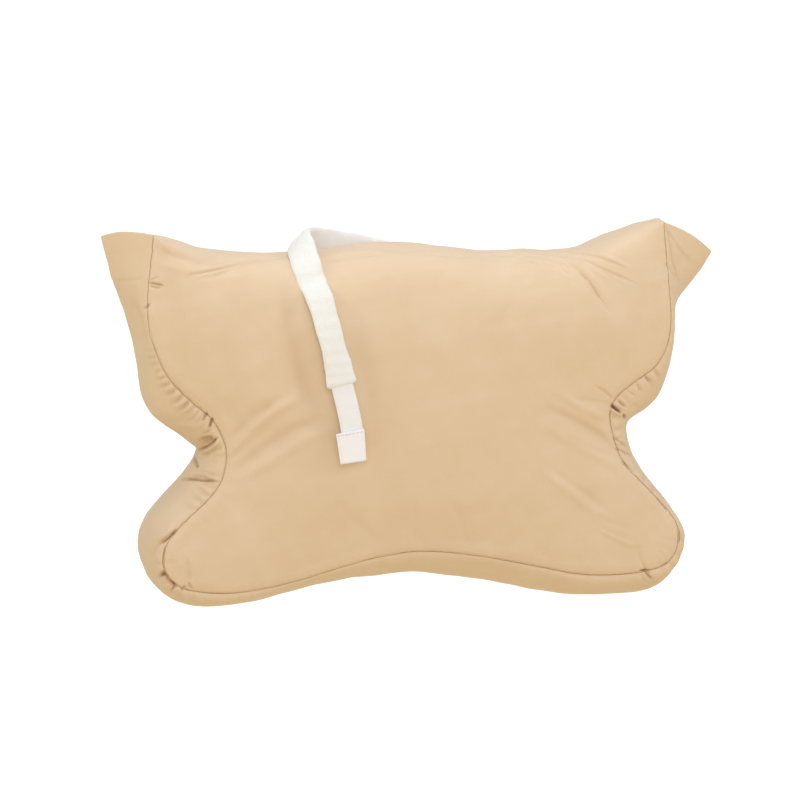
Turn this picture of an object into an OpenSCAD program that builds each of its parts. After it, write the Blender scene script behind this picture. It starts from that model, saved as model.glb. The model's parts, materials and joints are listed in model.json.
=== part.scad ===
// Two-lobed support cushion: fibre-filled inner pillow, boxed cotton cover with
// free ears at the top corners, fold-over closing flap, and a padded tether strap.
//
// Frame: +X to the right seen from the front, +Y to the back, +Z up.
// The cushion stands on its two lower lobes, on the plane z = 0.
// Every sewn panel is a thin closed shell cut from one family of nested
// surfaces: section() rolls round the edge, face_y() is the crowned panel.

/* [Cushion] */
// Width across the two lower lobes
body_w = 505; // [460:5:540]
// Height of the filled part at the middle of the top roll
body_h = 322; // [300:2:340]
// Depth from the front panel to the back panel at the middle, without the crown
core_depth = 92; // [80:2:100]
// How far each panel is crowned out past its seam
crown = 18; // [12:1:22]

/* [Cover] */
// Thickness of the cover cloth
cloth = 1.2; // [0.8:0.1:1.4]
// Air gap between two layers that lie on each other
slack = 0.5; // [0.3:0.1:0.6]
// Width of the closing flap on the back
flap_w = 380; // [340:10:400]
// Length of the closing flap down the back
flap_len = 62; // [50:2:70]
// Height of the sewn hem along the flap's free edge
hem_h = 16; // [12:1:20]

/* [Strap] */
// Width of the padded sleeve
sleeve_w = 24; // [20:1:26]
// Thickness of the padded sleeve
sleeve_t = 7; // [6:0.5:8]
// Width of the webbing and of the loop tape
tape_w = 20; // [16:1:20]
// Thickness of the webbing and of the loop tape
tape_t = 1.4; // [1.2:0.1:1.4]
// Width of the hook tab
tab_w = 26; // [24:1:28]
// Length of the hook tab
tab_len = 28; // [24:1:28]

/* [Hidden] */

// The frame's origin is under the middle of the whole object's box.
frame_shift = [5.1, 3.4, 0];

tan_cloth = [0.86, 0.74, 0.58];
ticking_cloth = [0.93, 0.92, 0.88];
fibre = [0.97, 0.97, 0.96];
thread = [0.78, 0.65, 0.48];
white_fleece = [0.96, 0.94, 0.91];
white_tape = [0.95, 0.94, 0.94];

// ---- pattern ----
// The tables are drawn for a cushion of 505 x 322 x 92 and scaled from there.
scale_x = body_w / 505;
scale_z = body_h / 322;
scale_y = core_depth / 92;
center_z = 165 * scale_z;     // height of the middle of the panels' rings
substeps = 2;                 // spline steps between two pattern stations
RINGS = [0.22, 0.42, 0.6, 0.76, 0.9, 1];   // from the panel's middle to its seam
ROLLS = [-64, -36, -12, 12, 36, 64];       // angles round the boxing between the seams

// Pattern stations, counter-clockwise seen from the front, from the middle of the bottom edge:
// [seam x, seam z, half depth at the seam, girth x, girth z].
// The girth is the widest line of the boxing.
SEAM_X = 0;
SEAM_Z = 1;
HALF_DEPTH = 2;
GIRTH_X = 3;
GIRTH_Z = 4;

BOTTOM = [[0, 50, 50, 0, 24]];
RIGHT = [
    // foot
    [82, 37, 50, 82, 13], [150, 24, 50, 150, -1], [196, 24, 50, 200, -1.5],
    // lower lobe
    [227, 33, 50, 236, 13], [237, 55, 50, 252, 48], [228, 76, 49, 246, 67],
    // side notch
    [200, 107, 48, 219, 102], [179, 132, 47, 202, 126], [171.5, 163, 46, 199, 152],
    // upper lobe
    [185, 191.5, 45, 224, 174], [214, 213, 44, 238, 205]];
LEFT = [
    // upper lobe
    [-219, 197, 45, -245, 184], [-189, 166, 46, -208, 151],
    // side notch
    [-183.5, 140, 47, -200, 138], [-196, 108, 48, -221, 112],
    // lower lobe
    [-224, 81, 49, -247, 84], [-240, 54, 50, -253, 54], [-232, 29, 50, -238, 19],
    // foot
    [-208, 21, 50, -207, -1.5], [-158, 20, 50, -158, -1], [-80, 37, 50, -82, 17]];

// The cover's boxing runs up past the filled corners and stands free there, as two ears.
EAR_RIGHT = [[228, 255, 42, 242, 245], [227, 290, 38, 254, 280], [222, 341, 30, 277, 307]];
EAR_LEFT = [
    [-252, 344, 38, -286, 337], [-255, 300, 41, -277, 296],
    [-253, 262, 43, -263, 255], [-244, 228, 44, -254, 216]];
TOP = [
    [190, 319, 36, 192, 331], [150, 293, 42, 150, 313],
    [100, 284, 43, 100, 309.5], [35, 284, 43, 35, 316.5],
    [-35, 287, 43, -35, 322], [-110, 287, 43, -110, 317],
    [-182, 304, 42, -182, 324], [-218, 325, 40, -218, 335]];
// Over the top roll the girth is the roll's crest, and at the ears it is just above the seam.
CREST_RIGHT = [EAR_RIGHT[0], [227, 290, 38, 228, 292], [222, 341, 30, 222, 343]];
CREST_LEFT = [[-252, 344, 38, -252, 346], [-255, 300, 41, -255, 302], EAR_LEFT[2], EAR_LEFT[3]];
// The filled pillow has rounded corners instead.
CORNER_RIGHT = [[217, 243, 42, 239, 243], [205, 268, 41, 228, 284], [186, 276, 41, 203, 304]];
CORNER_LEFT = [
    [-212, 274, 41, -228, 295], [-227, 255, 42, -246, 268],
    [-236, 238, 43, -252, 240], [-238, 226, 44, -254, 216]];
FILL_TOP = [
    [165, 279, 41, 172, 307], [135, 281, 42, 135, 306],
    [100, 281, 43, 100, 305.5], [35, 282, 43, 35, 312.5],
    [-35, 284, 43, -35, 318], [-110, 284, 43, -110, 313],
    [-165, 284, 42, -168, 312], [-190, 281, 41, -197, 308]];

function spline(a, b, c, d, t) =
    0.5 * (2 * b + (c - a) * t + (2 * a - 5 * b + 4 * c - d) * t * t
        + (3 * b - a - 3 * c + d) * t * t * t);
function sized(rows) = [for (r = rows)
    [r[0] * scale_x, r[1] * scale_z, r[2] * scale_y, r[3] * scale_x, r[4] * scale_z]];
function smooth_loop(rows) = let (n = len(rows))
    [for (i = [0 : n - 1]) for (k = [0 : substeps - 1])
        spline(rows[(i + n - 1) % n], rows[i], rows[(i + 1) % n], rows[(i + 2) % n],
            k / substeps)];
function outline(right_end, top, left_end) =
    smooth_loop(sized(concat(BOTTOM, RIGHT, right_end, top, left_end, LEFT)));

COVER = outline(EAR_RIGHT, TOP, EAR_LEFT);
TOP_ROLL = outline(CREST_RIGHT, TOP, CREST_LEFT);
PILLOW = outline(CORNER_RIGHT, FILL_TOP, CORNER_LEFT);
count = len(COVER);
// Stations where the ears end and the top opening begins
ear_right = substeps * (len(BOTTOM) + len(RIGHT) + len(EAR_RIGHT) - 1);
ear_left = ear_right + substeps * (len(TOP) + 1);

// ---- nested surfaces ----
// Inset is how deep a layer lies under the cover's outside; it is negative outside the cover.

// Angle round the panel's middle, counter-clockwise from straight down
function bearing(x, z) = let (a = atan2(z - center_z, x) + 90) a < 0 ? a + 360 : a;
// Lookup tables by bearing, closed at 360
function reach(p) = norm([p[SEAM_X], p[SEAM_Z] - center_z]);
function reach_table(stations) = concat(
    [for (p = stations) [bearing(p[SEAM_X], p[SEAM_Z]), reach(p)]],
    [[360, reach(stations[0])]]);
function depth_table(stations) = concat(
    [for (p = stations) [bearing(p[SEAM_X], p[SEAM_Z]), p[HALF_DEPTH]]],
    [[360, stations[0][HALF_DEPTH]]]);
COVER_REACH = reach_table(COVER);
COVER_DEPTH = depth_table(COVER);

crown_half_w = 0.5 * body_w;      // the crown fades out this far from the middle
crown_half_h = 0.465 * body_h;
function bulge(x, z) = crown * max(0, 1 - pow(x / crown_half_w, 2))
    * max(0, 1 - pow((z - center_z) / crown_half_h, 2));

// Half depth of a crowned panel at x, z; s runs from 0 at its middle to 1 at its seam.
function crowned_y(x, z, angle, s, depths, inset) =
    (core_depth / 2) * (1 - s * s) + lookup(angle, depths) * s * s
    - inset + bulge(x, z) * (1 - pow(s, 5));
function face_y(x, z, inset) = let (angle = bearing(x, z))
    crowned_y(x, z, angle, min(1, norm([x, z - center_z]) / lookup(angle, COVER_REACH)),
        COVER_DEPTH, inset);
function panel_point(p, s, side, inset, depths) = let (
        x = p[SEAM_X] * s,
        z = center_z + (p[SEAM_Z] - center_z) * s,
        y = s >= 1 ? p[HALF_DEPTH] - inset
            : crowned_y(x, z, bearing(p[SEAM_X], p[SEAM_Z]), s, depths, inset))
    [x, side * y, max(z, inset)];

// Near the ground the weight squashes the roll to a squarer section,
// which gives the two feet their flats.
squash_min = 0.3;      // exponent at the ground; it is 1 from squash_top up
squash_top = 40;
min_run = 0.4;         // least seam-to-girth run left inside an inset layer
function squash(z) = squash_min + (1 - squash_min) * min(1, max(0, z / squash_top));
// A point on the edge roll of station p:
// roll is -90 at the front seam, 0 at the girth and 90 at the back seam.
function section(p, roll, inset) = let (
        girth = [p[GIRTH_X], p[GIRTH_Z]],
        run = [p[SEAM_X], p[SEAM_Z]] - girth,
        run_len = max(norm(run), inset + min_run),
        swell = pow(max(0, cos(roll)), squash(p[GIRTH_Z])),
        q = girth + run * (1 - (run_len - inset) / run_len * swell))
    [q[0], (p[HALF_DEPTH] - inset) * sin(roll), max(q[1], inset)];

// ---- solids from point lists ----
function split(a, b, c, d) = [[a, b, c], [a, c, d]];
function flat(rows) = [for (r = rows) each r];
function flipped(faces) = [for (f = faces) [for (k = [len(f) - 1 : -1 : 0]) f[k]]];

// A closed thin shell: outer and inner points with the same numbering,
// the triangles of the inner side, and the edges of the border.
module shell(outer, inner, tris, border) {
    n = len(outer);
    polyhedron(points = concat(outer, inner), faces = concat(
        flipped(tris),
        [for (t = tris) t + [n, n, n]],
        [for (b = border) each split(b[0], b[1], b[1] + n, b[0] + n)]));
}

// A shell from two grids of points
module grid_shell(outer, inner, closed = false) {
    rows = len(outer);
    cols = len(outer[0]);
    last = closed ? rows - 1 : rows - 2;     // closed joins the last row to the first
    function id(i, j) = (i % rows) * cols + j;
    tris = [for (i = [0 : last]) for (j = [0 : cols - 2])
        each split(id(i, j), id(i + 1, j), id(i + 1, j + 1), id(i, j + 1))];
    border = concat(
        [for (i = [0 : last]) [id(i, 0), id(i + 1, 0)]],
        [for (i = [0 : last]) [id(i + 1, cols - 1), id(i, cols - 1)]],
        closed ? [] : concat(
            [for (j = [0 : cols - 2]) [id(rows - 1, j), id(rows - 1, j + 1)]],
            [for (j = [0 : cols - 2]) [id(0, j + 1), id(0, j)]]));
    shell(flat(outer), flat(inner), tris, border);
}

// A tube with open ends, from the rings of its outside and of its bore
module tube(outer, bore) {
    end = len(outer) - 1;
    n = len(outer[0]);
    function id(i, j) = i * n + j % n;
    tris = [for (i = [0 : end - 1]) for (j = [0 : n - 1])
        each split(id(i, j + 1), id(i + 1, j + 1), id(i + 1, j), id(i, j))];
    border = concat(
        [for (j = [0 : n - 1]) [id(0, j), id(0, j + 1)]],
        [for (j = [0 : n - 1]) [id(end, j + 1), id(end, j)]]);
    shell(flat(outer), flat(bore), tris, border);
}

// A solid bar through a list of rings, with flat ends
module bar(rings) {
    end = len(rings) - 1;
    n = len(rings[0]);
    polyhedron(points = flat(rings), faces = concat(
        [[for (k = [0 : n - 1]) k]],
        [[for (k = [n - 1 : -1 : 0]) end * n + k]],
        [for (i = [0 : end - 1]) for (k = [0 : n - 1])
            let (a = i * n + k, b = i * n + (k + 1) % n) each split(b, a, a + n, b + n)]));
}

// A four-sided thread that follows a list of points
module cord(path, r) {
    end = len(path) - 1;
    function heading(i) = unit(path[min(end, i + 1)] - path[max(0, i - 1)]);
    function ring(i) = let (t = heading(i), u = unit(cross(t, [0, 1, 0])), v = cross(t, u))
        [for (k = [0 : 3]) path[i] + r * (cos(90 * k + 45) * u + sin(90 * k + 45) * v)];
    bar([for (i = [0 : end]) ring(i)]);
}
function unit(v) = v / norm(v);

// A panel on the front (side -1) or the back (side 1): its middle point, then the rings,
// then optional rows over the top roll between the stations first and last.
module panel(side, outer, inner, stations, rolls = [], first = 0, last = 0) {
    seam = len(RINGS);
    end = seam + len(rolls);
    width = last - first + 1;
    rolled = len(rolls) > 0;
    depths = depth_table(stations);
    function id(i, r) = r <= seam ? 1 + (r - 1) * count + i % count
        : 1 + seam * count + (r - seam - 1) * width + i - first;
    function points(inset) = concat(
        [[0, side * (core_depth / 2 + crown - inset), center_z]],
        [for (s = RINGS) for (p = stations) panel_point(p, s, side, inset, depths)],
        [for (a = rolls) for (i = [first : last]) section(TOP_ROLL[i], a, inset)]);
    tris = concat(
        [for (i = [0 : count - 1]) [0, id(i, 1), id(i + 1, 1)]],
        [for (r = [1 : end - 1]) for (i = r < seam ? [0 : count - 1] : [first : last - 1])
            each split(id(i, r), id(i, r + 1), id(i + 1, r + 1), id(i + 1, r))]);
    border = concat(
        [for (i = [0 : count - 1]) if (!rolled || i < first || i >= last)
            [id(i, seam), id(i + 1, seam)]],
        !rolled ? [] : concat(
            [for (r = [seam : end - 1]) [id(first, r), id(first, r + 1)]],
            [for (r = [seam : end - 1]) [id(last, r + 1), id(last, r)]],
            [for (i = [first : last - 1]) [id(i, end), id(i + 1, end)]]));
    shell(points(outer), points(inner),
        side < 0 ? flipped(tris) : tris,
        side < 0 ? flipped(border) : border);
}

module boxing(stations, first, last, outer, inner, closed = false) {
    function rows(inset) = [for (i = [first : last])
        [for (a = concat([-90], ROLLS, [90])) section(stations[i % count], a, inset)]];
    grid_shell(rows(outer), rows(inner), closed);
}

// ---- cover ----
// The front panel runs on over the top roll between the ears.
front_wrap = [-62, -34, -10, 14, 40, 66, 82];
module cover_front_panel() color(tan_cloth)
    panel(-1, 0, cloth, COVER, front_wrap, ear_right, ear_left);
module cover_back_panel() color(tan_cloth) panel(1, 0, cloth, COVER);
// The strip runs from the left ear round the bottom to the right ear.
module cover_boxing_strip() color(tan_cloth)
    boxing(COVER, ear_left, count + ear_right, 0, cloth);

thread_r = 0.45;
seam_thread_gap = 0.25;
seam_thread_min_z = 1;
function seam_line(side) = [for (i = [ear_left : count + ear_right]) let (p = COVER[i % count])
    [p[SEAM_X], side * (p[HALF_DEPTH] + thread_r + seam_thread_gap),
        max(p[SEAM_Z], seam_thread_min_z)]];
module front_seam_stitching() color(thread) cord(seam_line(-1), thread_r);
module back_seam_stitching() color(thread) cord(seam_line(1), thread_r);

// ---- inner pillow ----
ticking_outer = cloth + 2.2;           // insets of the ticking and of the fill
ticking_inner = ticking_outer + 0.9;
fill_inset = ticking_inner + 0.5;
module inner_ticking_front() color(ticking_cloth)
    panel(-1, ticking_outer, ticking_inner, PILLOW);
module inner_ticking_back() color(ticking_cloth)
    panel(1, ticking_outer, ticking_inner, PILLOW);
module inner_ticking_boxing() color(ticking_cloth)
    boxing(PILLOW, 0, count - 1, ticking_outer, ticking_inner, closed = true);

// One solid: front rings outward, edge rolls, back rings inward, and the two middle points
module fibre_fill() {
    depths = depth_table(PILLOW);
    function face_ring(s, side) =
        [for (p = PILLOW) panel_point(p, s, side, fill_inset, depths)];
    rings = concat(
        [for (s = RINGS) face_ring(s, -1)],
        [for (a = ROLLS) [for (p = PILLOW) section(p, a, fill_inset)]],
        [for (k = [len(RINGS) - 1 : -1 : 0]) face_ring(RINGS[k], 1)]);
    end = len(rings) - 1;
    middle = len(rings) * count;
    middle_y = core_depth / 2 + crown - fill_inset;
    function id(i, r) = r * count + i % count;
    color(fibre) polyhedron(
        points = concat(flat(rings), [[0, -middle_y, center_z], [0, middle_y, center_z]]),
        faces = concat(
            [for (i = [0 : count - 1]) [middle, id(i + 1, 0), id(i, 0)]],
            [for (r = [0 : end - 1]) for (i = [0 : count - 1])
                each split(id(i, r), id(i + 1, r), id(i + 1, r + 1), id(i, r + 1))],
            [for (i = [0 : count - 1]) [middle + 1, id(i, end), id(i + 1, end)]]));
}

// ---- closing flap, folded over the top roll and hanging on the back ----
// Lookup tables by x along the top roll
function top_table(key, value) =
    [for (i = [ear_left : -1 : ear_right]) [TOP_ROLL[i][key], TOP_ROLL[i][value]]];
SEAM_HEIGHT = top_table(SEAM_X, SEAM_Z);
CREST_HEIGHT = top_table(GIRTH_X, GIRTH_Z);
SEAM_DEPTH = top_table(SEAM_X, HALF_DEPTH);
// Half depth of the back, or of the front, at any x, z up to the crest
function side_y(x, z, inset) = let (
        seam = lookup(x, SEAM_HEIGHT),
        t = (z - seam) / (lookup(x, CREST_HEIGHT) - seam - inset))
    z <= seam ? face_y(x, z, inset)
        : (lookup(x, SEAM_DEPTH) - inset) * sqrt(max(0, 1 - t * t));

fold_r = 1.4;
fold_axis = [0, 45 * scale_y + 2.4, 284 * scale_z + 1.5];
fold_blend = 0.2;       // share of the flap's length that bends from the fold to the back
flap_taper = 8;         // how much each side draws in at the free edge
flap_gap = slack + 0.6;
hem_t = 0.9;
hem_gap = flap_gap + cloth + 0.25;
hem_start = 1 - hem_h / flap_len;

// u runs from -1 to 1 across the flap, v from 0 at the fold to 1 at the free edge,
// and off is the height over the cover.
function flap_point(u, v, off) = let (
        z = fold_axis[2] - flap_len * v,
        x = u * (flap_w / 2 - flap_taper * v * v),
        lie = side_y(x, z, -off),
        k = max(0, 1 - v / fold_blend),
        fold_y = fold_axis[1] - 0.5 * cloth + off - flap_gap)
    [x, max(lie, lie * (1 - k) + fold_y * k), z];
module flap_shell(v0, v1, off, thick, width = 1) {
    function rows(height) = [for (k = [-8 : 8])
        [for (j = [0 : 4]) flap_point(k / 8 * width, v0 + (v1 - v0) * j / 4, height)]];
    grid_shell(rows(off + thick), rows(off));
}
module closure_flap() color(tan_cloth) {
    flap_shell(0, 1, flap_gap, cloth);
    // rolled fold that the flap turns on
    translate(fold_axis) rotate([0, 90, 0])
        cylinder(r = fold_r, h = flap_w - 1, center = true, $fn = 32);
}
module closure_flap_hem() color(tan_cloth)
    flap_shell(hem_start, 0.99, hem_gap, hem_t, width = 0.99);
module flap_hem_stitching() color(thread)
    cord([for (k = [-16 : 16])
        flap_point(k / 16 * 0.97, hem_start + 0.05, hem_gap + hem_t + 0.3 + thread_r)], thread_r);

// ---- tether strap ----
// Centre line from the anchor at the back over the crest: [x, y, z, outward normal]
OVER_CREST = [
    [-2, 48, 297, [0, 1, 0.15]], [-7, 47, 304.5, [0, 1, 0.25]],
    [-22, 44.5, 310.5, [0, 0.95, 0.3]], [-43, 41, 315.5, [0, 0.97, 0.22]],
    [-68, 35, 320.5, [-0.05, 1, 0.15]], [-90, 22.5, 326, [-0.35, 0.8, 0.45]],
    [-103, 1, 328.5, [-0.72, 0.1, 0.68]], [-106.5, -21.5, 324, [-0.55, -0.45, 0.68]],
    [-106, -41, 310.5, [-0.2, -0.85, 0.5]], [-102.5, -50.5, 295.5, [0, -0.97, 0.24]]];
// Then down the front, where the strap lies on the panel: [x, z]
DOWN_FRONT = [
    [-98.6, 282.5], [-92.2, 255], [-85.6, 228], [-81.2, 207],
    [-76, 186], [-71.4, 163], [-68, 134.5]];
front_normal = [0, -1, 0.12];
strap_gap = 1.5;       // between the front panel and the sleeve
function on_front(x, z) = [x, -side_y(x, z, 0) - strap_gap - sleeve_t / 2, z];
LINE = concat(
    [for (p = OVER_CREST) [p[0] * scale_x, p[1] * scale_y, p[2] * scale_z]],
    [for (p = DOWN_FRONT) on_front(p[0] * scale_x, p[1] * scale_z)]);
NORMALS = concat([for (p = OVER_CREST) p[3]], [for (p = DOWN_FRONT) front_normal]);

// u counts the stations of the centre line.
line_end = len(LINE) - 1;
function station(u) = min(line_end - 1, max(0, floor(u)));
function line_at(u) = let (i = station(u))
    spline(LINE[max(0, i - 1)], LINE[i], LINE[i + 1], LINE[min(line_end, i + 2)], u - i);
function normal_at(u) = let (i = station(u), t = u - i)
    NORMALS[i] * (1 - t) + NORMALS[i + 1] * t;
function tangent_at(u) = unit(line_at(u + 0.05) - line_at(u - 0.05));
// The point at u, moved across the strap and outward
function place(u, across, outward) = let (
        tangent = tangent_at(u),
        side = unit(cross(normal_at(u), tangent)))
    line_at(u) + across * side + outward * unit(cross(tangent, side));

// A bar along the strap from u0 to u1; profiles are lists of [across, outward].
module strap_bar(u0, u1, steps, profile, bore = []) {
    function rings(outline) = [for (k = [0 : steps])
        [for (p = outline) place(u0 + (u1 - u0) * k / steps, p[0], p[1])]];
    if (len(bore) == 0) bar(rings(profile));
    else tube(rings(profile), rings(bore));
}
function flat_profile(w, t, shift = [0, 0]) =
    [for (c = [[-1, -1], [1, -1], [1, 1], [-1, 1]]) [c[0] * w / 2, c[1] * t / 2] + shift];
// Ten points; the corners lie at edge_w, edge_h.
function round_profile(half_w, half_h, edge_w, edge_h) = [
    [-half_w, 0], [-edge_w, -edge_h], [-half_w / 2, -half_h], [half_w / 2, -half_h],
    [edge_w, -edge_h], [half_w, 0], [edge_w, edge_h], [half_w / 2, half_h],
    [-half_w / 2, half_h], [-edge_w, edge_h]];
pad = round_profile(sleeve_w / 2, sleeve_t / 2, sleeve_w / 2 - 1.6, sleeve_t * 0.4);
slot_w = tape_w / 2 + 0.5;
slot_h = tape_t / 2 + 0.3;
slot = round_profile(slot_w, slot_h, slot_w, slot_h);

// Places along the strap, in stations
u_crest = 9;      // front shoulder of the top roll: the front run lifts here
u_sleeve = 11;    // middle of the front run
u_mouth = 13;     // sleeve's closed end, where the loop tape comes out
u_tab = 15;       // a little above the hook tab's upper edge
u_hook = u_tab + 0.05;
tab_end = u_hook + tab_len / 30;     // a station is taken as 30 mm here
fold_gap = 0.02;  // half the slit at a fold

module sleeve(u0, u1, steps) color(white_fleece) strap_bar(u0, u1, steps, pad, slot);
module web(u0, u1, steps) color(white_tape)
    strap_bar(u0, u1, steps, flat_profile(tape_w, tape_t));
module sleeve_rear() sleeve(0.05, u_crest - fold_gap, 22);
module webbing_rear() web(0.08, u_crest - fold_gap, 22);
module sleeve_upper() sleeve(u_crest + fold_gap, u_sleeve - fold_gap, 6);
module webbing_upper() web(u_crest + fold_gap, u_sleeve - fold_gap, 6);
module sleeve_lower() sleeve(u_sleeve + fold_gap, u_mouth, 6);
module webbing_lower() web(u_sleeve + fold_gap, u_mouth + 0.1, 6);
module loop_tape() web(u_mouth + 0.14, u_tab - fold_gap, 6);
module loop_tape_end() web(u_tab + fold_gap, tab_end - 0.13, 3);

// A stitch across the strap
strap_stitch_len = 2.6;
module strap_stitch(u, across, outward, r)
    cord([for (end = [-0.5, 0.5]) place(u, across + end * strap_stitch_len, outward)], r);
// The sleeve's mouth is sewn shut over the webbing.
module sleeve_end_stitching() color(thread) for (across = [-6 : 4 : 6])
    strap_stitch(u_mouth - 0.12, across, sleeve_t / 2 + 0.65, r = 0.4);

hook_t = 1.5;
backing_t = 0.8;
tab_gap = 0.2;         // from the loop tape to the hook tab and to its backing
tab_shift = -2.4;      // the hook tab sits off the strap's middle
module hook_tab() color(white_tape)
    strap_bar(u_hook, tab_end, 3,
        flat_profile(tab_w, hook_t, [tab_shift, tape_t / 2 + tab_gap + hook_t / 2]));
module hook_tab_backing() color(white_tape)
    strap_bar(u_tab + 0.08, tab_end - 0.06, 3,
        flat_profile(tape_w - 1, backing_t, [0, -tape_t / 2 - tab_gap - backing_t / 2]));
module hook_tab_stitching() color(thread) for (k = [0 : 4])
    strap_stitch(u_tab + 0.14, 4 * k - 10.2, tape_t / 2 + 2.3, r = 0.35);

// ---- anchor of the strap on the back of the top roll ----
patch_t = 0.9;
anchor_stitch_z = 292.5 * scale_z;
module strap_anchor_patch() {
    function rows(off) = [for (i = [0 : 4]) let (x = (-20 + i * 9) * scale_x)
        [for (k = [0 : 3]) let (z = (290 + k * 5) * scale_z) [x, side_y(x, z, -off), z]]];
    color(tan_cloth) grid_shell(rows(slack + patch_t), rows(slack));
}
module strap_anchor_stitching() color(thread) for (x = [-15 : 5 : 10])
    let (y = side_y(x, anchor_stitch_z, 0) + slack + patch_t + 0.8)
        cord([for (end = [-1.5, 1.5]) [x + end, y, anchor_stitch_z]], 0.4);

translate(frame_shift) {
    cover_front_panel();
    cover_back_panel();
    cover_boxing_strip();
    front_seam_stitching();
    back_seam_stitching();
    inner_ticking_front();
    inner_ticking_back();
    inner_ticking_boxing();
    fibre_fill();
    closure_flap();
    closure_flap_hem();
    flap_hem_stitching();
    strap_anchor_patch();
    strap_anchor_stitching();
    sleeve_rear();
    webbing_rear();
    sleeve_upper();
    webbing_upper();
    sleeve_lower();
    webbing_lower();
    sleeve_end_stitching();
    loop_tape();
    loop_tape_end();
    hook_tab_backing();
    hook_tab();
    hook_tab_stitching();
}
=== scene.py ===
"""A stuffed cushion in a tan cotton case, with a sleeved strap.

The case stands on its bottom edge. It has a notch in each side, an ear at each upper corner, a
closing flap on its back, and a strap that starts behind the top roll, passes over the crest and
hangs down the front. +X is right, -Y is the front, +Z is up. Shapes are drawn in millimetres in
the CAD's drawing frame, and to_world() turns them into the scene's metres.
"""
import json
import math

import bmesh
import bpy
import numpy as np
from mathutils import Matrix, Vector, geometry, kdtree
from mathutils.bvhtree import BVHTree


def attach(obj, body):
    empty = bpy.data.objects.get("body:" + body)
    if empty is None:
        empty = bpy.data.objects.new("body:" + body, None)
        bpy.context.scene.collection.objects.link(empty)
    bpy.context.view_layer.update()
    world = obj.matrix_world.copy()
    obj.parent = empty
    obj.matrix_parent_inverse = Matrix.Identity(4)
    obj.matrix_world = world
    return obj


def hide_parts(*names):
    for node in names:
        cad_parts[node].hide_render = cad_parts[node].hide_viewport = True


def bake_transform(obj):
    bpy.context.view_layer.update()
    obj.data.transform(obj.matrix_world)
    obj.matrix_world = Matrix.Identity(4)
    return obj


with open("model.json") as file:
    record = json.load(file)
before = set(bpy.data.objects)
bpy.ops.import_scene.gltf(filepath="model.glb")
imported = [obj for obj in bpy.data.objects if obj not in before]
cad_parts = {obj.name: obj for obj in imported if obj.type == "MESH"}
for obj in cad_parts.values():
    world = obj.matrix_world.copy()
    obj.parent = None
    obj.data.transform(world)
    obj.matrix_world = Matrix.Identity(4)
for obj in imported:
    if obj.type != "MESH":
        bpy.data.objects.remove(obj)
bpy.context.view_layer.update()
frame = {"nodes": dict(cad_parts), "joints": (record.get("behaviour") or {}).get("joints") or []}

JOINT = {joint["name"]: joint for joint in frame["joints"]}
MM = 0.001
CELL = 5.0            # mesh size on the panels and along the seams, mm
ACROSS = 26            # faces across the side band and the top roll
RELAX_ROUNDS = 3000
scene = bpy.context.scene
rng = np.random.default_rng(7)


def joint_at(name):
    """A joint's place in the scene, in metres."""
    return np.array(JOINT[name]["pos_m"])


FLAP_FOLD = np.array([0.0, 47.4, 285.5])        # the flap's fold line in the drawing frame
SHIFT = joint_at("flap_lift") / MM - FLAP_FOLD


# ------------------------------------------------------------------ view
AZIMUTH, ELEVATION = math.radians(-13), math.radians(8)
CAMERA_DISTANCE = 8.0                           # m
CAMERA_LENS = 400.0
TO_CAMERA = np.array([math.sin(AZIMUTH) * math.cos(ELEVATION),
                      -math.cos(AZIMUTH) * math.cos(ELEVATION), math.sin(ELEVATION)])
VIEW_RIGHT = np.array([math.cos(AZIMUTH), math.sin(AZIMUTH), 0.0])
VIEW_UP = np.cross(TO_CAMERA, VIEW_RIGHT)
TARGET = np.array([-11.0, 0.0, 181.0])          # drawing frame, mm


def on_view_plane(points):
    """Drawing-frame points cast from the camera onto the plane through TARGET: right, up, mm."""
    offset = np.asarray(points, float) - TARGET
    distance = CAMERA_DISTANCE / MM
    spread = distance / (distance - offset @ TO_CAMERA)
    return np.stack([(offset @ VIEW_RIGHT) * spread, (offset @ VIEW_UP) * spread], -1)


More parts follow.
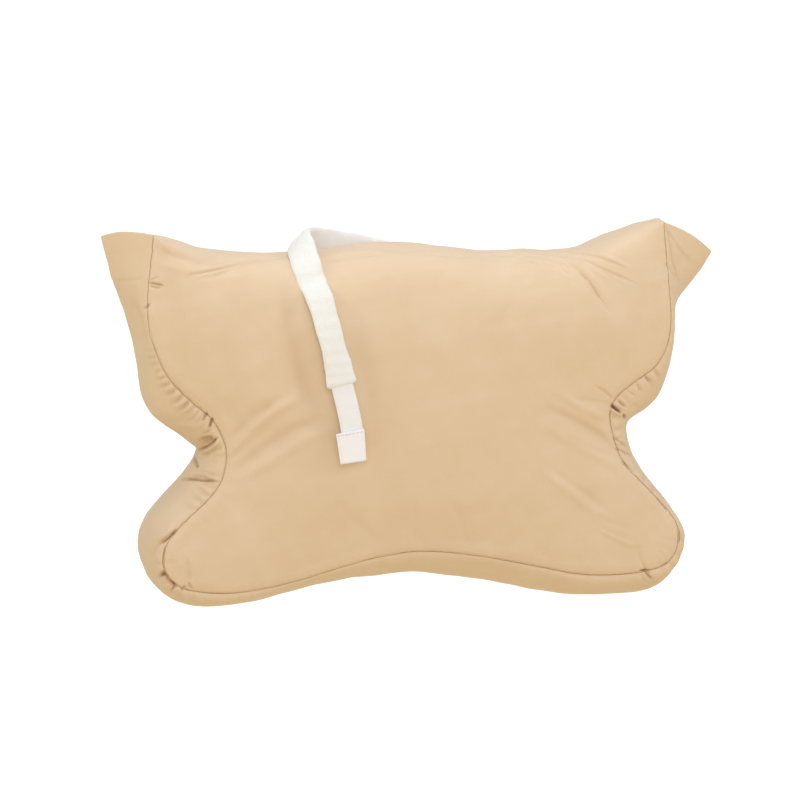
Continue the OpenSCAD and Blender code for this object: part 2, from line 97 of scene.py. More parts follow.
# ------------------------------------------------------------------ pattern of the case
# Seam x, seam z, half depth, girth x, girth z: from the left ear's open end down, along the
# bottom and up to the right ear's. The girth is the middle of the side band.
SIDE = np.array([
    [-244, 341.5, 37, -286, 336], [-246.5, 322, 39, -280.5, 317], [-249.5, 300, 41, -275, 296],
    [-251, 281, 42, -268, 276], [-250, 262, 43, -260.5, 257], [-246, 243, 44, -254, 239],
    [-239, 225, 45, -250.5, 220], [-230, 210, 45, -249.5, 202], [-219.5, 199, 45, -247.5, 188],
    [-208, 188, 45, -238.5, 172.5], [-196, 178, 46, -219, 158.5], [-187.5, 166, 46, -206.5, 148.5],
    [-182, 152, 47, -199.3, 141.5], [-181, 138, 47, -200, 134.5], [-185, 121, 47, -207, 122.5],
    [-195.5, 106, 48, -217.5, 109], [-211, 92, 49, -232, 96], [-225, 79, 49, -243.5, 82],
    [-235, 67, 50, -248, 67], [-239, 54, 50, -248.5, 52], [-238, 42, 50, -247.5, 39],
    [-232, 31, 50, -240.5, 23], [-222, 25, 50, -227, 9], [-208, 21, 50, -207, 1.4],
    [-182, 18.5, 50, -182, 1.0], [-153, 20.5, 50, -155, 4.8], [-118, 27, 50, -119, 13.2],
    [-80, 37, 50, -82, 21], [-40, 46.5, 50, -40, 25], [0, 50, 50, 0, 26], [50, 44, 50, 50, 21.5],
    [100, 33.5, 50, 100, 10], [145, 24, 50, 145, 0.8], [180, 22.5, 50, 180, -1.2],
    [207, 25.5, 50, 207.5, -1], [221, 29, 50, 225, 5.2], [231, 38, 50, 238.5, 18.5],
    [235.5, 50, 50, 247.5, 34], [236, 62, 50, 250.5, 50], [229, 76, 49, 244, 66],
    [214.5, 93, 48, 230.5, 86], [197, 111, 48, 216, 104], [183, 128, 47, 205, 122],
    [175.5, 149, 47, 199, 142], [172.5, 168, 46, 201.5, 155], [178, 182.5, 45, 217.5, 165],
    [196, 197, 45, 231, 180], [214, 209, 44, 237, 200], [225.5, 227, 44, 240.5, 225],
    [230, 250, 43, 241, 246], [229.5, 272, 41, 245, 261], [227.5, 305, 36, 263.5, 283],
    [226, 339.5, 30, 279.5, 306.5]], float)
# Shoulder x, shoulder z, half depth, crest x, crest z: over the top, right horn to left horn.
OVER = np.array([
    [226, 339.5, 30, 226, 341], [209, 331, 33, 209, 337], [190, 318, 36, 190, 330],
    [170, 303, 40, 170, 322.5], [150, 293, 42, 150, 315], [125, 286.5, 43, 125, 313.2],
    [100, 284, 43, 100, 315.2], [70, 283.5, 43, 70, 314], [35, 284, 43, 35, 319.5],
    [0, 285, 43, 0, 323], [-35, 286, 43, -35, 324.5], [-75, 286, 43, -75, 320.5],
    [-110, 287, 43, -110, 318], [-145, 291, 43, -145, 318.8], [-182, 302, 42, -182, 323.3],
    [-215, 318, 40, -215, 333], [-232, 332, 38, -232, 338], [-244, 341.5, 37, -244, 340]], float)


def catmull_rom(a, b, c, d, t):
    """The curve between b and c."""
    return 0.5 * (2 * b + (c - a) * t + (2 * a - 5 * b + 4 * c - d) * t ** 2
                  + (3 * b - a - 3 * c + d) * t ** 3)


def resample(rows, step):
    """Catmull-Rom through the rows, then even steps."""
    padded = np.vstack([2 * rows[0] - rows[1], rows, 2 * rows[-1] - rows[-2]])
    t = np.linspace(0, 1, 24, endpoint=False)[:, None]
    curve = [catmull_rom(*padded[i:i + 4], t) for i in range(len(rows) - 1)]
    curve = np.vstack(curve + [rows[-1:]])
    lengths = 0.5 * (np.hypot(*np.diff(curve[:, :2], axis=0).T)
                     + np.hypot(*np.diff(curve[:, 3:5], axis=0).T))
    run = np.concatenate([[0], np.cumsum(lengths)])
    stops = np.linspace(0, run[-1], max(4, int(round(run[-1] / step))) + 1)
    return np.stack([np.interp(stops, run, curve[:, k]) for k in range(curve.shape[1])], -1)


def smoothstep(t):
    t = np.clip(t, 0, 1)
    return t * t * (3 - 2 * t)


def clamp01(t):
    return min(1, max(0, t))


side = resample(SIDE, CELL)
over = resample(OVER, CELL)
over[0, :3], over[-1, :3] = side[-1, :3], side[0, :3]
N_SIDE = len(side)

# ------------------------------------------------------------------ front and back panels
outline = np.vstack([side[:, :2], over[1:-1, :2]])
outline_depth = np.concatenate([side[:, 2], over[1:-1, 2]])
N_OUTLINE = len(outline)
BULGE = 17.0                            # how far a panel's middle swells out, mm
BULGE_POWER = 0.8
FIRST_DEPTH = 46.0                      # where the panels' relaxing starts, mm


def segment_distance(points, a, b):
    """Distance of points from the segment ab, and how far along it their nearest place is."""
    span = b - a
    t = np.clip(((points - a) @ span) / max(1e-9, span @ span), 0, 1)
    return np.hypot(*(points - (a + t[:, None] * span)).T), t


def triangulate():
    """Outline points first, then a triangular lattice inside them; triangles over both."""
    low, high = outline.min(0), outline.max(0)
    lattice = []
    row = 0
    z = low[1]
    while z < high[1]:
        xs = np.arange(low[0] + (CELL / 2 if row % 2 else 0), high[0], CELL)
        lattice.append(np.stack([xs, np.full(len(xs), z)], -1))
        z += CELL * math.sqrt(3) / 2
        row += 1
    lattice = np.vstack(lattice)
    gap = np.full(len(lattice), 1e9)
    inside = np.zeros(len(lattice), bool)
    for i in range(N_OUTLINE):
        a, b = outline[i], outline[(i + 1) % N_OUTLINE]
        gap = np.minimum(gap, segment_distance(lattice, a, b)[0])
        spans = (a[1] > lattice[:, 1]) != (b[1] > lattice[:, 1])
        with np.errstate(divide="ignore", invalid="ignore"):
            cross_x = (b[0] - a[0]) * (lattice[:, 1] - a[1]) / (b[1] - a[1]) + a[0]
        inside ^= spans & (lattice[:, 0] < cross_x)
    points = np.vstack([outline, lattice[inside & (gap > 0.6 * CELL)]])
    _, _, cells, sources, _, _ = geometry.delaunay_2d_cdt(
        [Vector(p) for p in points], [], [list(range(N_OUTLINE))], 1, 1e-6)
    return points, np.array([[sources[v][0] for v in cell] for cell in cells])


flat, tri = triangulate()
# counter-clockwise seen from the front (x right, z up)
turn = np.cross(flat[tri[:, 1]] - flat[tri[:, 0]], flat[tri[:, 2]] - flat[tri[:, 0]])
tri[turn < 0] = tri[turn < 0][:, ::-1]
edges = np.vstack([tri[:, [0, 1]], tri[:, [1, 2]], tri[:, [2, 0]]])
edges = np.unique(np.sort(edges, axis=1), axis=0)
degree = np.bincount(edges.ravel(), minlength=len(flat)).astype(float)


def relax(values, held, source, rounds):
    """Draw each free value to its neighbours' mean plus source."""
    now = values.copy()
    for _ in range(rounds):
        total = (np.bincount(edges[:, 0], now[edges[:, 1]], len(now))
                 + np.bincount(edges[:, 1], now[edges[:, 0]], len(now)))
        change = total / degree + source - now
        now = np.where(held, values, now + change)
    return now


index = np.arange(len(flat))
on_outline = index < N_OUTLINE
on_side = index < N_SIDE
first = np.full(len(flat), FIRST_DEPTH)
first[:N_OUTLINE] = outline_depth
depth = relax(first, on_outline, 0.0, RELAX_ROUNDS)
source = np.where(on_outline & ~on_side, 0.0, 1.0)
hill = relax(np.zeros(len(flat)), on_side, source, RELAX_ROUNDS * 2)
hill = (hill / hill.max()) ** BULGE_POWER
face_depth = depth + BULGE * hill
top_extra = np.concatenate([[0], (face_depth - depth)[N_SIDE:N_OUTLINE], [0]])

# ------------------------------------------------------------------ case: side band, roll, panels
FRONT_AND_TOP, BAND, REAR, FLAP = range(4)      # face tags
FLAP_HALF = 186.0                       # half the flap's width
FLAP_COLUMN = int(round(ACROSS * (60 + 90) / 180))     # the flap starts 60 deg behind the crest
SWELL_ROOM = 2.4                        # the girth is drawn in, room for the cloth to swell
EAR_BOTTOM, EAR_RISE = 238, 70          # the round band turns into a vee over this height
BACK_DROP, FRONT_RISE = 14.0, 4.0       # lean of the ears and horns

ear = smoothstep(np.clip((side[:, 1] - EAR_BOTTOM) / EAR_RISE, 0, 1))
across = np.linspace(-1, 1, ACROSS + 1)         # -1 at the front seam, 1 at the back one
verts, faces, tags = [], [], []


def add(point):
    verts.append(point)
    return len(verts) - 1


def add_side_band():
    """The band between the seams; a row for each place along them."""
    ids = np.zeros((N_SIDE, ACROSS + 1), int)
    for i in range(N_SIDE):
        seam, girth, half = side[i, :2], side[i, 3:5], side[i, 2]
        inward = (seam - girth) / max(1e-6, np.linalg.norm(seam - girth))
        girth = girth + inward * SWELL_ROOM * (1 - ear[i])
        height_share = max(0, (seam[1] - 262) / 80)
        for j, t in enumerate(across):
            angle = t * math.pi / 2
            if angle < 0:
                power = 0.75 + 0.25 * clamp01(girth[1] / 20)
            else:
                power = 0.3 + 0.7 * clamp01(girth[1] / 40)
            rounded = girth + (seam - girth) * (1 - math.cos(angle) ** power)
            vee = girth + (seam - girth) * (0.75 * abs(t) + 0.25 * abs(t) ** 2)
            x, z = rounded * (1 - ear[i]) + vee * ear[i]
            y = half * (math.sin(angle) * (1 - ear[i]) + t * ear[i])
            lean = ear[i] * height_share * (
                -BACK_DROP * max(0, t) + FRONT_RISE * math.sin(math.pi * max(0, -t)))
            ids[i, j] = add([x, y, max(0.0, z) + lean])
    return ids


def add_top_roll(band):
    """The roll over the top; its end rows share their corners with the side band."""
    ids = np.zeros((len(over), ACROSS + 1), int)
    for i in range(len(over)):
        shoulder, crest, half = over[i, :2], over[i, 3:5], over[i, 2] + top_extra[i]
        horn = smoothstep((shoulder[1] - 300) / 44)
        power = 1 - 0.15 * (1 - horn)
        for j, t in enumerate(across):
            if i in (0, len(over) - 1) and j in (0, ACROSS):
                ids[i, j] = band[N_SIDE - 1 if i == 0 else 0, j]
                continue
            angle = t * math.pi / 2
            x, z = crest + (shoulder - crest) * (1 - math.cos(angle) ** power)
            bow = math.copysign(abs(math.sin(angle)) ** 0.92, angle)
            y = half * (bow * (1 - horn) + t * horn)
            ids[i, j] = add([x, y, z - BACK_DROP * horn * max(0, t)])
    return ids


def add_strip(ids, tag_at):
    for i in range(ids.shape[0] - 1):
        for j in range(ids.shape[1] - 1):
            faces.append([ids[i, j], ids[i, j + 1], ids[i + 1, j + 1], ids[i + 1, j]])
            tags.append(tag_at(i, j))


def roll_tag(i, j):
    x = 0.5 * (over[i, 0] + over[i + 1, 0])
    return FLAP if j >= FLAP_COLUMN and abs(x) < FLAP_HALF else FRONT_AND_TOP


def add_panel(sign, column, tag):
    ids = list(band_ids[:, column]) + list(roll_ids[1:-1, column])
    for (x, z), y in zip(flat[N_OUTLINE:], face_depth[N_OUTLINE:]):
        ids.append(add([x, sign * y, z]))
    for corners in tri:
        face = [int(ids[v]) for v in corners]
        faces.append(face if sign < 0 else face[::-1])
        tags.append(tag)


band_ids = add_side_band()
roll_ids = add_top_roll(band_ids)
add_strip(band_ids, lambda i, j: BAND)
add_strip(roll_ids, roll_tag)
add_panel(-1, 0, FRONT_AND_TOP)
add_panel(1, ACROSS, REAR)
verts = np.array(verts, float)


# ------------------------------------------------------------------ mesh helpers
def to_world(points):
    return (np.asarray(points) + SHIFT) * MM


def mesh_of(name, points, face_list):
    mesh = bpy.data.meshes.new(name)
    mesh.from_pydata([tuple(p) for p in points], [], face_list)
    mesh.update()
    return mesh


def link(name, data):
    obj = bpy.data.objects.new(name, data)
    bpy.context.collection.objects.link(obj)
    return obj


def vertex_values(mesh, key):
    values = np.zeros(len(mesh.vertices) * 3)
    mesh.vertices.foreach_get(key, values)
    return values.reshape(-1, 3)


def move_vertices(mesh, points):
    mesh.vertices.foreach_set("co", np.ascontiguousarray(points).ravel())
    mesh.update()


def tree_of(points):
    tree = kdtree.KDTree(len(points))
    for k, p in enumerate(points):
        tree.insert(Vector(p), k)
    tree.balance()
    return tree


# ------------------------------------------------------------------ soften the top of the case
neighbours = {}
for f in faces:
    for k in range(len(f)):
        neighbours.setdefault(f[k], set()).add(f[k - 1])
        neighbours.setdefault(f[k - 1], set()).add(f[k])
pair_from = np.array([a for a in neighbours for _ in neighbours[a]])
pair_to = np.array([b for a in neighbours for b in neighbours[a]])
pair_count = np.bincount(pair_from, minlength=len(verts)).astype(float)[:, None]


def soften(values, weight, rounds):
    """Draw each vertex's values to its neighbours' mean."""
    for _ in range(rounds):
        sums = [np.bincount(pair_from, values[pair_to, k], len(values)) for k in range(3)]
        mean = np.stack(sums, -1) / pair_count
        values = values + (mean - values) * weight[:, None] * 0.8
    return values


free = np.ones(len(verts))
free[band_ids.ravel()] = 0
crest_ids = roll_ids[:, ACROSS // 2]
crest_x, crest_z = verts[crest_ids, 0].copy(), verts[crest_ids, 2].copy()
kept_x = verts[:, 0].copy()
verts = soften(verts, smoothstep((verts[:, 2] - 232) / 40) * free, 34)
verts[:, 0] = kept_x
# the height that the crest lost is given back
order = np.argsort(crest_x)
lost = np.interp(verts[:, 0], crest_x[order], (crest_z - verts[crest_ids, 2])[order])
verts[:, 2] += lost * smoothstep((verts[:, 2] - 235) / 75) * free

case = link("case_sim", mesh_of("case_sim", to_world(verts), faces))
bm = bmesh.new()
bm.from_mesh(case.data)
bmesh.ops.recalc_face_normals(bm, faces=bm.faces)
bm.to_mesh(case.data)
bm.free()

# ------------------------------------------------------------------ cloth: blown up between seams
LONGEST_MOVE = 6.0 * MM
LAST_FRAME = 25
seam_ids = [int(v) for v in set(band_ids[:, 0]) | set(band_ids[:, ACROSS])]


def weight_group(name, weights):
    group = case.vertex_groups.new(name=name)
    for k, weight in enumerate(weights):
        group.add([k], float(weight), "REPLACE")


pin = case.vertex_groups.new(name="pin")
pin.add(seam_ids, 1.0, "REPLACE")
pin.add([int(v) for v in np.where(verts[:, 2] < 0.6)[0]], 1.0, "REPLACE")
# horns and ears are slack: no pressure there
slack = smoothstep((verts[:, 2] - 300) / 30) * smoothstep((np.abs(verts[:, 0]) - 165) / 30)
slack = np.maximum(slack, smoothstep((verts[:, 2] - 245) / 25)
                   * smoothstep((np.abs(verts[:, 0] + 12) - 236) / 8))
weight_group("full", 1 - slack)
coarse_tree = tree_of(verts[seam_ids])
seam_gap = np.array([coarse_tree.find(Vector(p))[2] for p in verts])
weight_group("gather", np.exp(-(seam_gap / 22.0) ** 2))

cloth = case.modifiers.new("cloth", "CLOTH")
for key, value in dict(
        quality=5, mass=0.25, tension_stiffness=12, compression_stiffness=12,
        shear_stiffness=4, bending_stiffness=0.4, tension_damping=8, compression_damping=8,
        air_damping=4, use_pressure=True, uniform_pressure_force=2.4,
        vertex_group_pressure="full", vertex_group_mass="pin",
        shrink_min=-0.008, shrink_max=-0.05, vertex_group_shrink="gather").items():
    setattr(cloth.settings, key, value)
cloth.settings.effector_weights.gravity = 0
cloth.point_cache.frame_start, cloth.point_cache.frame_end = 1, 40
rest = vertex_values(case.data, "co")
for f in range(1, LAST_FRAME + 1):
    scene.frame_set(f)
evaluated = case.evaluated_get(bpy.context.evaluated_depsgraph_get())
blown = vertex_values(evaluated.to_mesh(), "co")
evaluated.to_mesh_clear()
case.modifiers.clear()
scene.frame_set(1)


def cap_length(moves):
    lengths = np.linalg.norm(moves, axis=1)
    return moves * np.minimum(1, LONGEST_MOVE / np.maximum(lengths, 1e-9))[:, None]


move = blown - rest
move *= (1 - 0.65 * smoothstep((verts[:, 2] - 215) / 60))[:, None]   # the roll keeps its shape
off_seam = 1.0 - np.isin(np.arange(len(verts)), seam_ids)
move = cap_length(soften(cap_length(move), off_seam, 12))
swollen = rest + move
swollen[:, 2] = np.maximum(swollen[:, 2], SHIFT[2] * MM)
move_vertices(case.data, swollen)

# the whole case is subdivided in one piece, so that the seams stay shared
case.vertex_groups.clear()
part_layer = case.data.attributes.new("part", "INT", "FACE")
part_layer.data.foreach_set("value", np.array(tags, np.int32))
subdivide = case.modifiers.new("sub", "SUBSURF")
subdivide.levels = subdivide.render_levels = 1
subdivide.subdivision_type = "CATMULL_CLARK"
subdivide.boundary_smooth = "PRESERVE_CORNERS"
fine = bpy.data.meshes.new_from_object(
    case.evaluated_get(bpy.context.evaluated_depsgraph_get()))
bpy.data.objects.remove(case)

# ------------------------------------------------------------------ folds placed one by one
# Half width and height (minus is a valley), then the points of a line as right, up, right, up...
# Lines lie on the view plane through TARGET. All in mm.
FOLD_TABLE = [
    # star-shaped tuck beside the left ear's seam, and the ear itself
    (0.99, -1.7, -225.9, 105.3, -219.6, 104.4, -213.3, 102.6),
    (0.99, -1.1, -225, 102.6, -219.6, 100.8, -215.1, 100.8),
    (0.99, -0.8, -225, 107.1, -221.4, 108.9, -217.8, 110.7),
    (1.08, -1.3, -225, 86.4, -227.7, 83.7, -230.4, 81.9),
    (1.35, -0.6, -259.2, 107.1, -244.8, 107.1, -231.3, 108.9),
    (3.15, -1.0, -240.3, 90, -231.3, 67.5, -228.6, 46.8),
    (2.7, 1.0, -223.2, 83.7, -225, 67.5, -222.3, 49.5),
    # top: soft hollow on the left and drawn lines
    (4.5, -1.5, -216, 135, -201.6, 130.5, -180, 126, -169.2, 126.9),
    (1.26, -1.1, -190.8, 111.6, -171, 116.1, -144, 122.4, -101.7, 128.7),
    (1.8, -0.45, -181.8, 108, -144, 115.2, -117, 118.8),
    (1.62, 0.5, -169.2, 118.8, -135, 125.1, -99, 131.4),
    (1.17, -0.8, -175.5, 120.6, -157.5, 124.2, -135, 127.8, -103.5, 130.5),
    (3.6, 0.5, -216, 122.4, -199.8, 117, -180, 116.1),
    (1.17, -0.5, -167.4, 111.6, -151.2, 117, -133.2, 120.6),
    (1.44, -0.9, -75.6, 124.2, -49.5, 128.7, -16.2, 131.4),
    (1.8, 0.5, -72, 128.7, -45, 133.2, -12.6, 135.9),
    (1.44, -0.7, -4.5, 133.2, 36, 130.5, 90, 127.8),
    (1.8, -0.45, 27, 123.3, 72, 126, 126, 123.3),
    (1.35, -0.7, 72, 131.4, 103.5, 130.5, 130.5, 124.2),
    (1.44, -0.6, -36, 137.7, 0, 135, 45, 135),
    # right corner, a bundle of drag lines from the roll to the ear
    (1.35, -0.8, 146.7, 126.9, 162, 115.2, 172.8, 100.8, 181.8, 86.4, 188.1, 78.3),
    (0.99, -0.9, 162, 115.2, 169.2, 108, 174.6, 99.9, 179.1, 90.9),
    (2.16, 0.6, 151.2, 127.8, 166.5, 117.9, 178.2, 103.5, 187.2, 88.2),
    (1.17, -0.9, 142.2, 131.4, 167.4, 125.1, 189.9, 114.3, 212.4, 104.4),
    (1.17, -0.85, 148.5, 134.1, 178.2, 128.7, 202.5, 118.8),
    (1.53, 0.45, 149.4, 126, 171, 118.8, 190.8, 107.1),
    (1.17, -0.95, 106.2, 131.4, 130.5, 128.7, 149.4, 122.4, 162.9, 112.5),
    (1.08, -0.9, 117, 134.1, 140.4, 131.4, 162, 125.1),
    (1.17, -0.6, 126, 126.9, 140.4, 121.5, 153, 112.5),
    (1.35, -0.45, 90, 131.4, 112.5, 127.8, 133.2, 120.6),
    (1.44, -0.35, 157.5, 138.6, 181.8, 134.1, 205.2, 124.2),
    (1.62, 0.4, 160.2, 135, 183.6, 129.6, 207, 118.8),
    (1.26, -0.4, 163.8, 124.2, 183.6, 114.3, 199.8, 101.7),
    # right ear, beside its seam
    (1.08, -1.2, 240.75, 156.6, 243.9, 139.5, 246.6, 122.4, 252.9, 104.4),
    (1.17, -0.8, 241.2, 151.2, 250.2, 136.8, 261, 124.2),
    (1.08, -0.8, 239.4, 124.2, 244.8, 115.2, 252, 106.2),
    (1.08, -0.8, 242.1, 108, 245.7, 99, 248.4, 91.8),
    (1.44, -0.4, 252, 147.6, 257.4, 135, 261, 120.6),
    (2.7, 0.4, 246.6, 147.6, 255.6, 135, 268.2, 124.2),
    # left notch: pocket in the side band, its lower lip, the slit at the edge, the long crease
    (2.34, -2.6, -180, -36.9, -173.7, -35.55, -168.3, -34.2),
    (1.98, -2.2, -178.2, -40.5, -173.7, -38.7, -168.3, -36.9),
    (0.99, -2.6, -180.9, -45, -174.6, -43.02, -169.2, -39.15, -164.7, -34.2),
    (1.62, 1.3, -180, -47.7, -172.8, -45.45, -166.5, -41.4, -162, -36),
    (1.08, -3.0, -168.75, -17.1, -170.1, -20.7, -171.9, -25.2),
    (1.08, -2.0, -173.7, -11.7, -175.5, -15.3, -178.2, -18.9),
    (0.9, -1.1, -178.2, -31.05, -174.6, -29.7, -171, -27),
    (1.44, -0.9, -171.9, -46.8, -165.6, -45, -159.3, -45),
    (1.26, -0.8, -179.1, -51.3, -174.6, -49.5, -171, -47.7),
    (1.035, -2.8, -185.85, -51.3, -184.05, -55.8, -182.7, -60.3),
    (0.99, -0.8, -182.7, -62.1, -176.4, -64.8, -167.4, -68.4),
    (1.26, -2.7, -196.2, -70.65, -187.2, -70.83, -178.2, -72, -171, -72.36, -163.8, -73.8),
    (2.07, -1.7, -189, -69.3, -180.9, -68.4, -172.8, -70.92),
    (0.9, -0.8, -180.9, -74.88, -172.8, -74.7, -165.6, -76.5),
    (1.17, 0.7, -192.6, -73.8, -180, -73.8, -167.4, -74.7),
    (2.7, -0.4, -201.6, -79.2, -183.6, -83.7, -169.2, -82.8),
    (2.7, 0.5, -201.6, -21.6, -189, -23.4, -174.6, -23.4),
    (2.7, -0.4, -216, -18.9, -199.8, -19.8, -183.6, -18.9),
    # full shoulders of the roll near both ears; shallow valleys beside the hanging strap, their
    # darker tint painted shadow of the strap
    (28.8, 2.3, -205.2, 72, -176.4, 73.8, -144, 74.7),
    (28.8, 2.3, 154.8, 73.8, 183.6, 74.7, 216, 72),
    (8.1, -1.3, -102.6, 97.2, -99, 63, -90, 27, -73.8, -9),
    (9.9, -1.1, -41.4, 67.5, -30.6, 13.5, -23.4, -27, -20.7, -64.8),
    # soft radial folds into the panel
    (4.5, 1.5, -151.2, -46.8, -135, -27, -111.6, -9, -91.8, 1.8),
    (5.4, -1.2, -147.6, -63, -124.2, -45, -97.2, -27, -70.2, -16.2),
    (5.4, 0.9, -144, -70.2, -117, -55.8, -85.5, -36, -63, -27),
    (4.05, -1.1, -151.2, -36, -131.4, -14.4, -111.6, -1.8),
    (2.7, 0.5, -153, -42.3, -136.8, -19.8, -118.8, -4.5),
    (2.7, -0.5, -153.9, -55.8, -138.6, -40.5, -117, -25.2),
    (2.16, -0.6, 154.8, 0.9, 172.8, -1.8, 188.1, -2.7),
    (1.26, -0.9, 176.4, 11.7, 184.5, 7.2, 191.7, 0),
    (3.78, -1.35, 133.2, -7.2, 157.5, -18, 180, -31.5, 192.6, -44.1),
    (5.4, 1.2, 126, -21.6, 157.5, -36, 183.6, -53.1, 198, -63),
    (3.6, 1.0, 140.4, 7.2, 163.8, -7.2, 185.4, -16.2),
    (2.7, -0.7, 144, -28.8, 166.5, -41.4, 190.8, -52.2),
    # lower right lobe
    (3.6, 0.8, 126, -63, 154.8, -84.6, 181.8, -108),
    (2.7, -0.7, 135, -61.2, 162, -81, 187.2, -100.8),
    (1.98, -0.45, 172.8, -102.6, 189, -110.7, 211.5, -117),
    (1.53, 0.8, 180, -117.9, 199.8, -126.9, 214.2, -132.3),
    (1.35, -0.4, 177.3, -114.3, 194.4, -121.5, 208.8, -126.9),
    (2.7, -0.9, 214.2, -129.6, 215.1, -140.4, 217.8, -150.3),
    (0.99, -1.8, 216, -153.72, 220.5, -153.54, 225, -154.35),
    (1.17, -2.0, 221.4, -154.8, 223.65, -158.4, 226.8, -161.1),
    (1.08, -0.9, 218.7, -147.6, 220.5, -151.2, 221.4, -154.8),
    (1.8, -0.7, 216, -157.5, 218.7, -161.1, 219.6, -164.7),
    (0.99, -0.6, 234, -151.65, 237.6, -148.95, 241.2, -145.8),
    (0.9, -0.9, 249.3, -116.1, 251.1, -122.4, 251.1, -129.6),
    (0.99, -0.8, 230.4, -88.2, 235.8, -94.5, 241.2, -99.9),
    (1.17, -1.1, 199.8, -55.8, 206.1, -60.3, 211.5, -65.7),
    # right notch: slit beside the seam with a lip under it
    (1.035, -4.5, 191.07, -4.95, 194.4, -8.28, 198.45, -11.25),
    (1.26, 1.5, 189.9, -8.1, 194.4, -12.15, 199.8, -14.4),
    (0.99, -2.6, 201.15, -13.05, 202.5, -15.3, 203.4, -17.1),
    (1.08, -1.4, 220.5, 21.6, 222.3, 18.9, 224.1, 16.2),
    (1.35, -1.2, 213.3, 14.4, 215.1, 10.8, 216, 7.2),
    (1.08, -0.9, 203.4, 9, 207, 6.3, 210.6, 3.6),
    (1.35, -1.4, 197.1, -0.9, 199.8, -3.6, 202.5, -6.3),
    (2.16, -0.9, 207, -7.2, 210.6, -6.3, 214.2, -4.5),
    (1.44, -0.7, 192.6, -27, 197.1, -27, 201.6, -26.1),
    (1.08, -1.3, 192.6, -34.2, 198, -37.8, 204.3, -42.3),
    (0.99, -1.3, 195.3, -44.1, 201.6, -46.8, 207.9, -50.4),
    # left lobe: fold running into the seam, the dark slit below it and its branch
    (1.26, -3.2, -201.6, -117, -207.9, -122.85, -216, -129.15),
    (1.8, 1.0, -205.2, -117, -212.4, -121.5, -219.6, -126.9),
    (1.62, -1.0, -216, -128.7, -220.5, -135, -223.2, -144),
    (1.26, -2.8, -212.85, -153.9, -213.75, -156.6, -216.9, -159.3),
    (1.53, -2.4, -216, -157.95, -213.3, -157.5, -210.6, -159.3),
    (1.71, -5.5, -212.85, -156.6, -208.8, -162.9, -202.05, -167.85),
    (0.9, -2.0, -202.05, -167.4, -203.85, -169.2, -206.1, -171),
    (1.98, 1.2, -216.9, -162, -212.4, -167.4, -207, -171.9),
    (0.99, -1.3, -197.1, -171.45, -195.3, -169.65, -192.6, -167.4),
    (1.08, -1.3, -190.35, -164.7, -189, -167.4, -186.75, -170.1),
    (2.34, -0.9, -191.7, -144, -191.25, -154.8, -190.8, -164.7),
    (1.62, -0.6, -192.6, -171, -190.8, -174.6, -190.8, -178.2),
    (0.99, -0.8, -211.5, -131.4, -212.85, -142.2, -212.85, -153),
    (4.5, 0.6, -205.2, -130.5, -201.6, -144, -194.4, -154.8),
    # middle
    (1.98, -0.35, 11.7, -82.8, 12.6, -103.5, 10.8, -131.4),
    (3.6, -0.4, 46.8, -91.8, 55.8, -111.6, 59.4, -133.2),
    (4.5, -0.4, -58.5, -90, -45, -108, -25.2, -121.5)]
FOLDS = [(np.reshape(line, (-1, 2)).astype(float), width, height)
         for width, height, *line in FOLD_TABLE]
NARROW_FOLD = 1.44                      # half width up to which a fold gets a finer mesh
FINER_STEPS = [(-0.8, 4.95), (-1.6, 3.15)]      # least depth of valley, reach beside it

seam_front = np.stack([side[:, 0], -side[:, 2], side[:, 1]], -1)
MIRROR_Y = [1, -1, 1]


def refine(mesh):
    """Finer faces along the seams, over the wrinkled top and beside narrow valleys."""
    points = vertex_values(mesh, "co") / MM - SHIFT
    x, y, z = points.T
    tree = tree_of(np.vstack([seam_front, seam_front * MIRROR_Y]))
    close = np.array([tree.find(Vector(p))[2] < 25 for p in points]) & (y < 12)
    close |= (z > 258) & (y < 8)
    close |= (np.hypot((x + 150) / 75, (z - 160) / 38) < 1) & (y < 0)
    bm = bmesh.new()
    bm.from_mesh(mesh)
    pick = [e for e in bm.edges if close[e.verts[0].index] and close[e.verts[1].index]]
    bmesh.ops.subdivide_edges(bm, edges=pick, cuts=1, use_grid_fill=True, smooth=0.7)
    for least_depth, reach in FINER_STEPS:
        points = np.array([v.co[:] for v in bm.verts]) / MM
        seen = on_view_plane(points - SHIFT)
        tight = np.zeros(len(seen), bool)
        for line, width, height in FOLDS:
            if width <= NARROW_FOLD and height <= least_depth:
                for a, b in zip(line[:-1], line[1:]):
                    tight |= segment_distance(seen, a, b)[0] < reach
        tight &= points[:, 1] < 12
        bm.verts.index_update()
        pick = [e for e in bm.edges if tight[e.verts[0].index] and tight[e.verts[1].index]
                and e.calc_length() > 0.9 * MM]
        bmesh.ops.subdivide_edges(bm, edges=pick, cuts=1, use_grid_fill=True, smooth=0.6)
    bm.to_mesh(mesh)
    bm.free()
    mesh.update()


refine(fine)

points = vertex_values(fine, "co") / MM - SHIFT         # drawing frame, mm
normals = vertex_values(fine, "normal")
part = np.zeros(len(fine.polygons), np.int32)
fine.attributes["part"].data.foreach_get("value", part)
polygons = [list(p.vertices) for p in fine.polygons]
on_band = np.zeros(len(points), bool)
for f, tag in zip(polygons, part):
    if tag == BAND:
        on_band[f] = True

# ------------------------------------------------------------------ gathers along the seams
seam_run = np.concatenate([[0], np.cumsum(np.linalg.norm(np.diff(seam_front, axis=0), axis=1))])
stops = np.linspace(0, seam_run[-1], 1600)
dense_front = np.stack([np.interp(stops, seam_run, seam_front[:, k]) for k in range(3)], -1)
dense_back = dense_front * MIRROR_Y
seam_tree = tree_of(np.vstack([dense_front, dense_back]))
nearest = [seam_tree.find(Vector(p)) for p in points]
gap = np.array([found[2] for found in nearest])
nearest_id = np.array([found[1] for found in nearest])
at_front = nearest_id < len(stops)
run_at = stops[nearest_id % len(stops)]


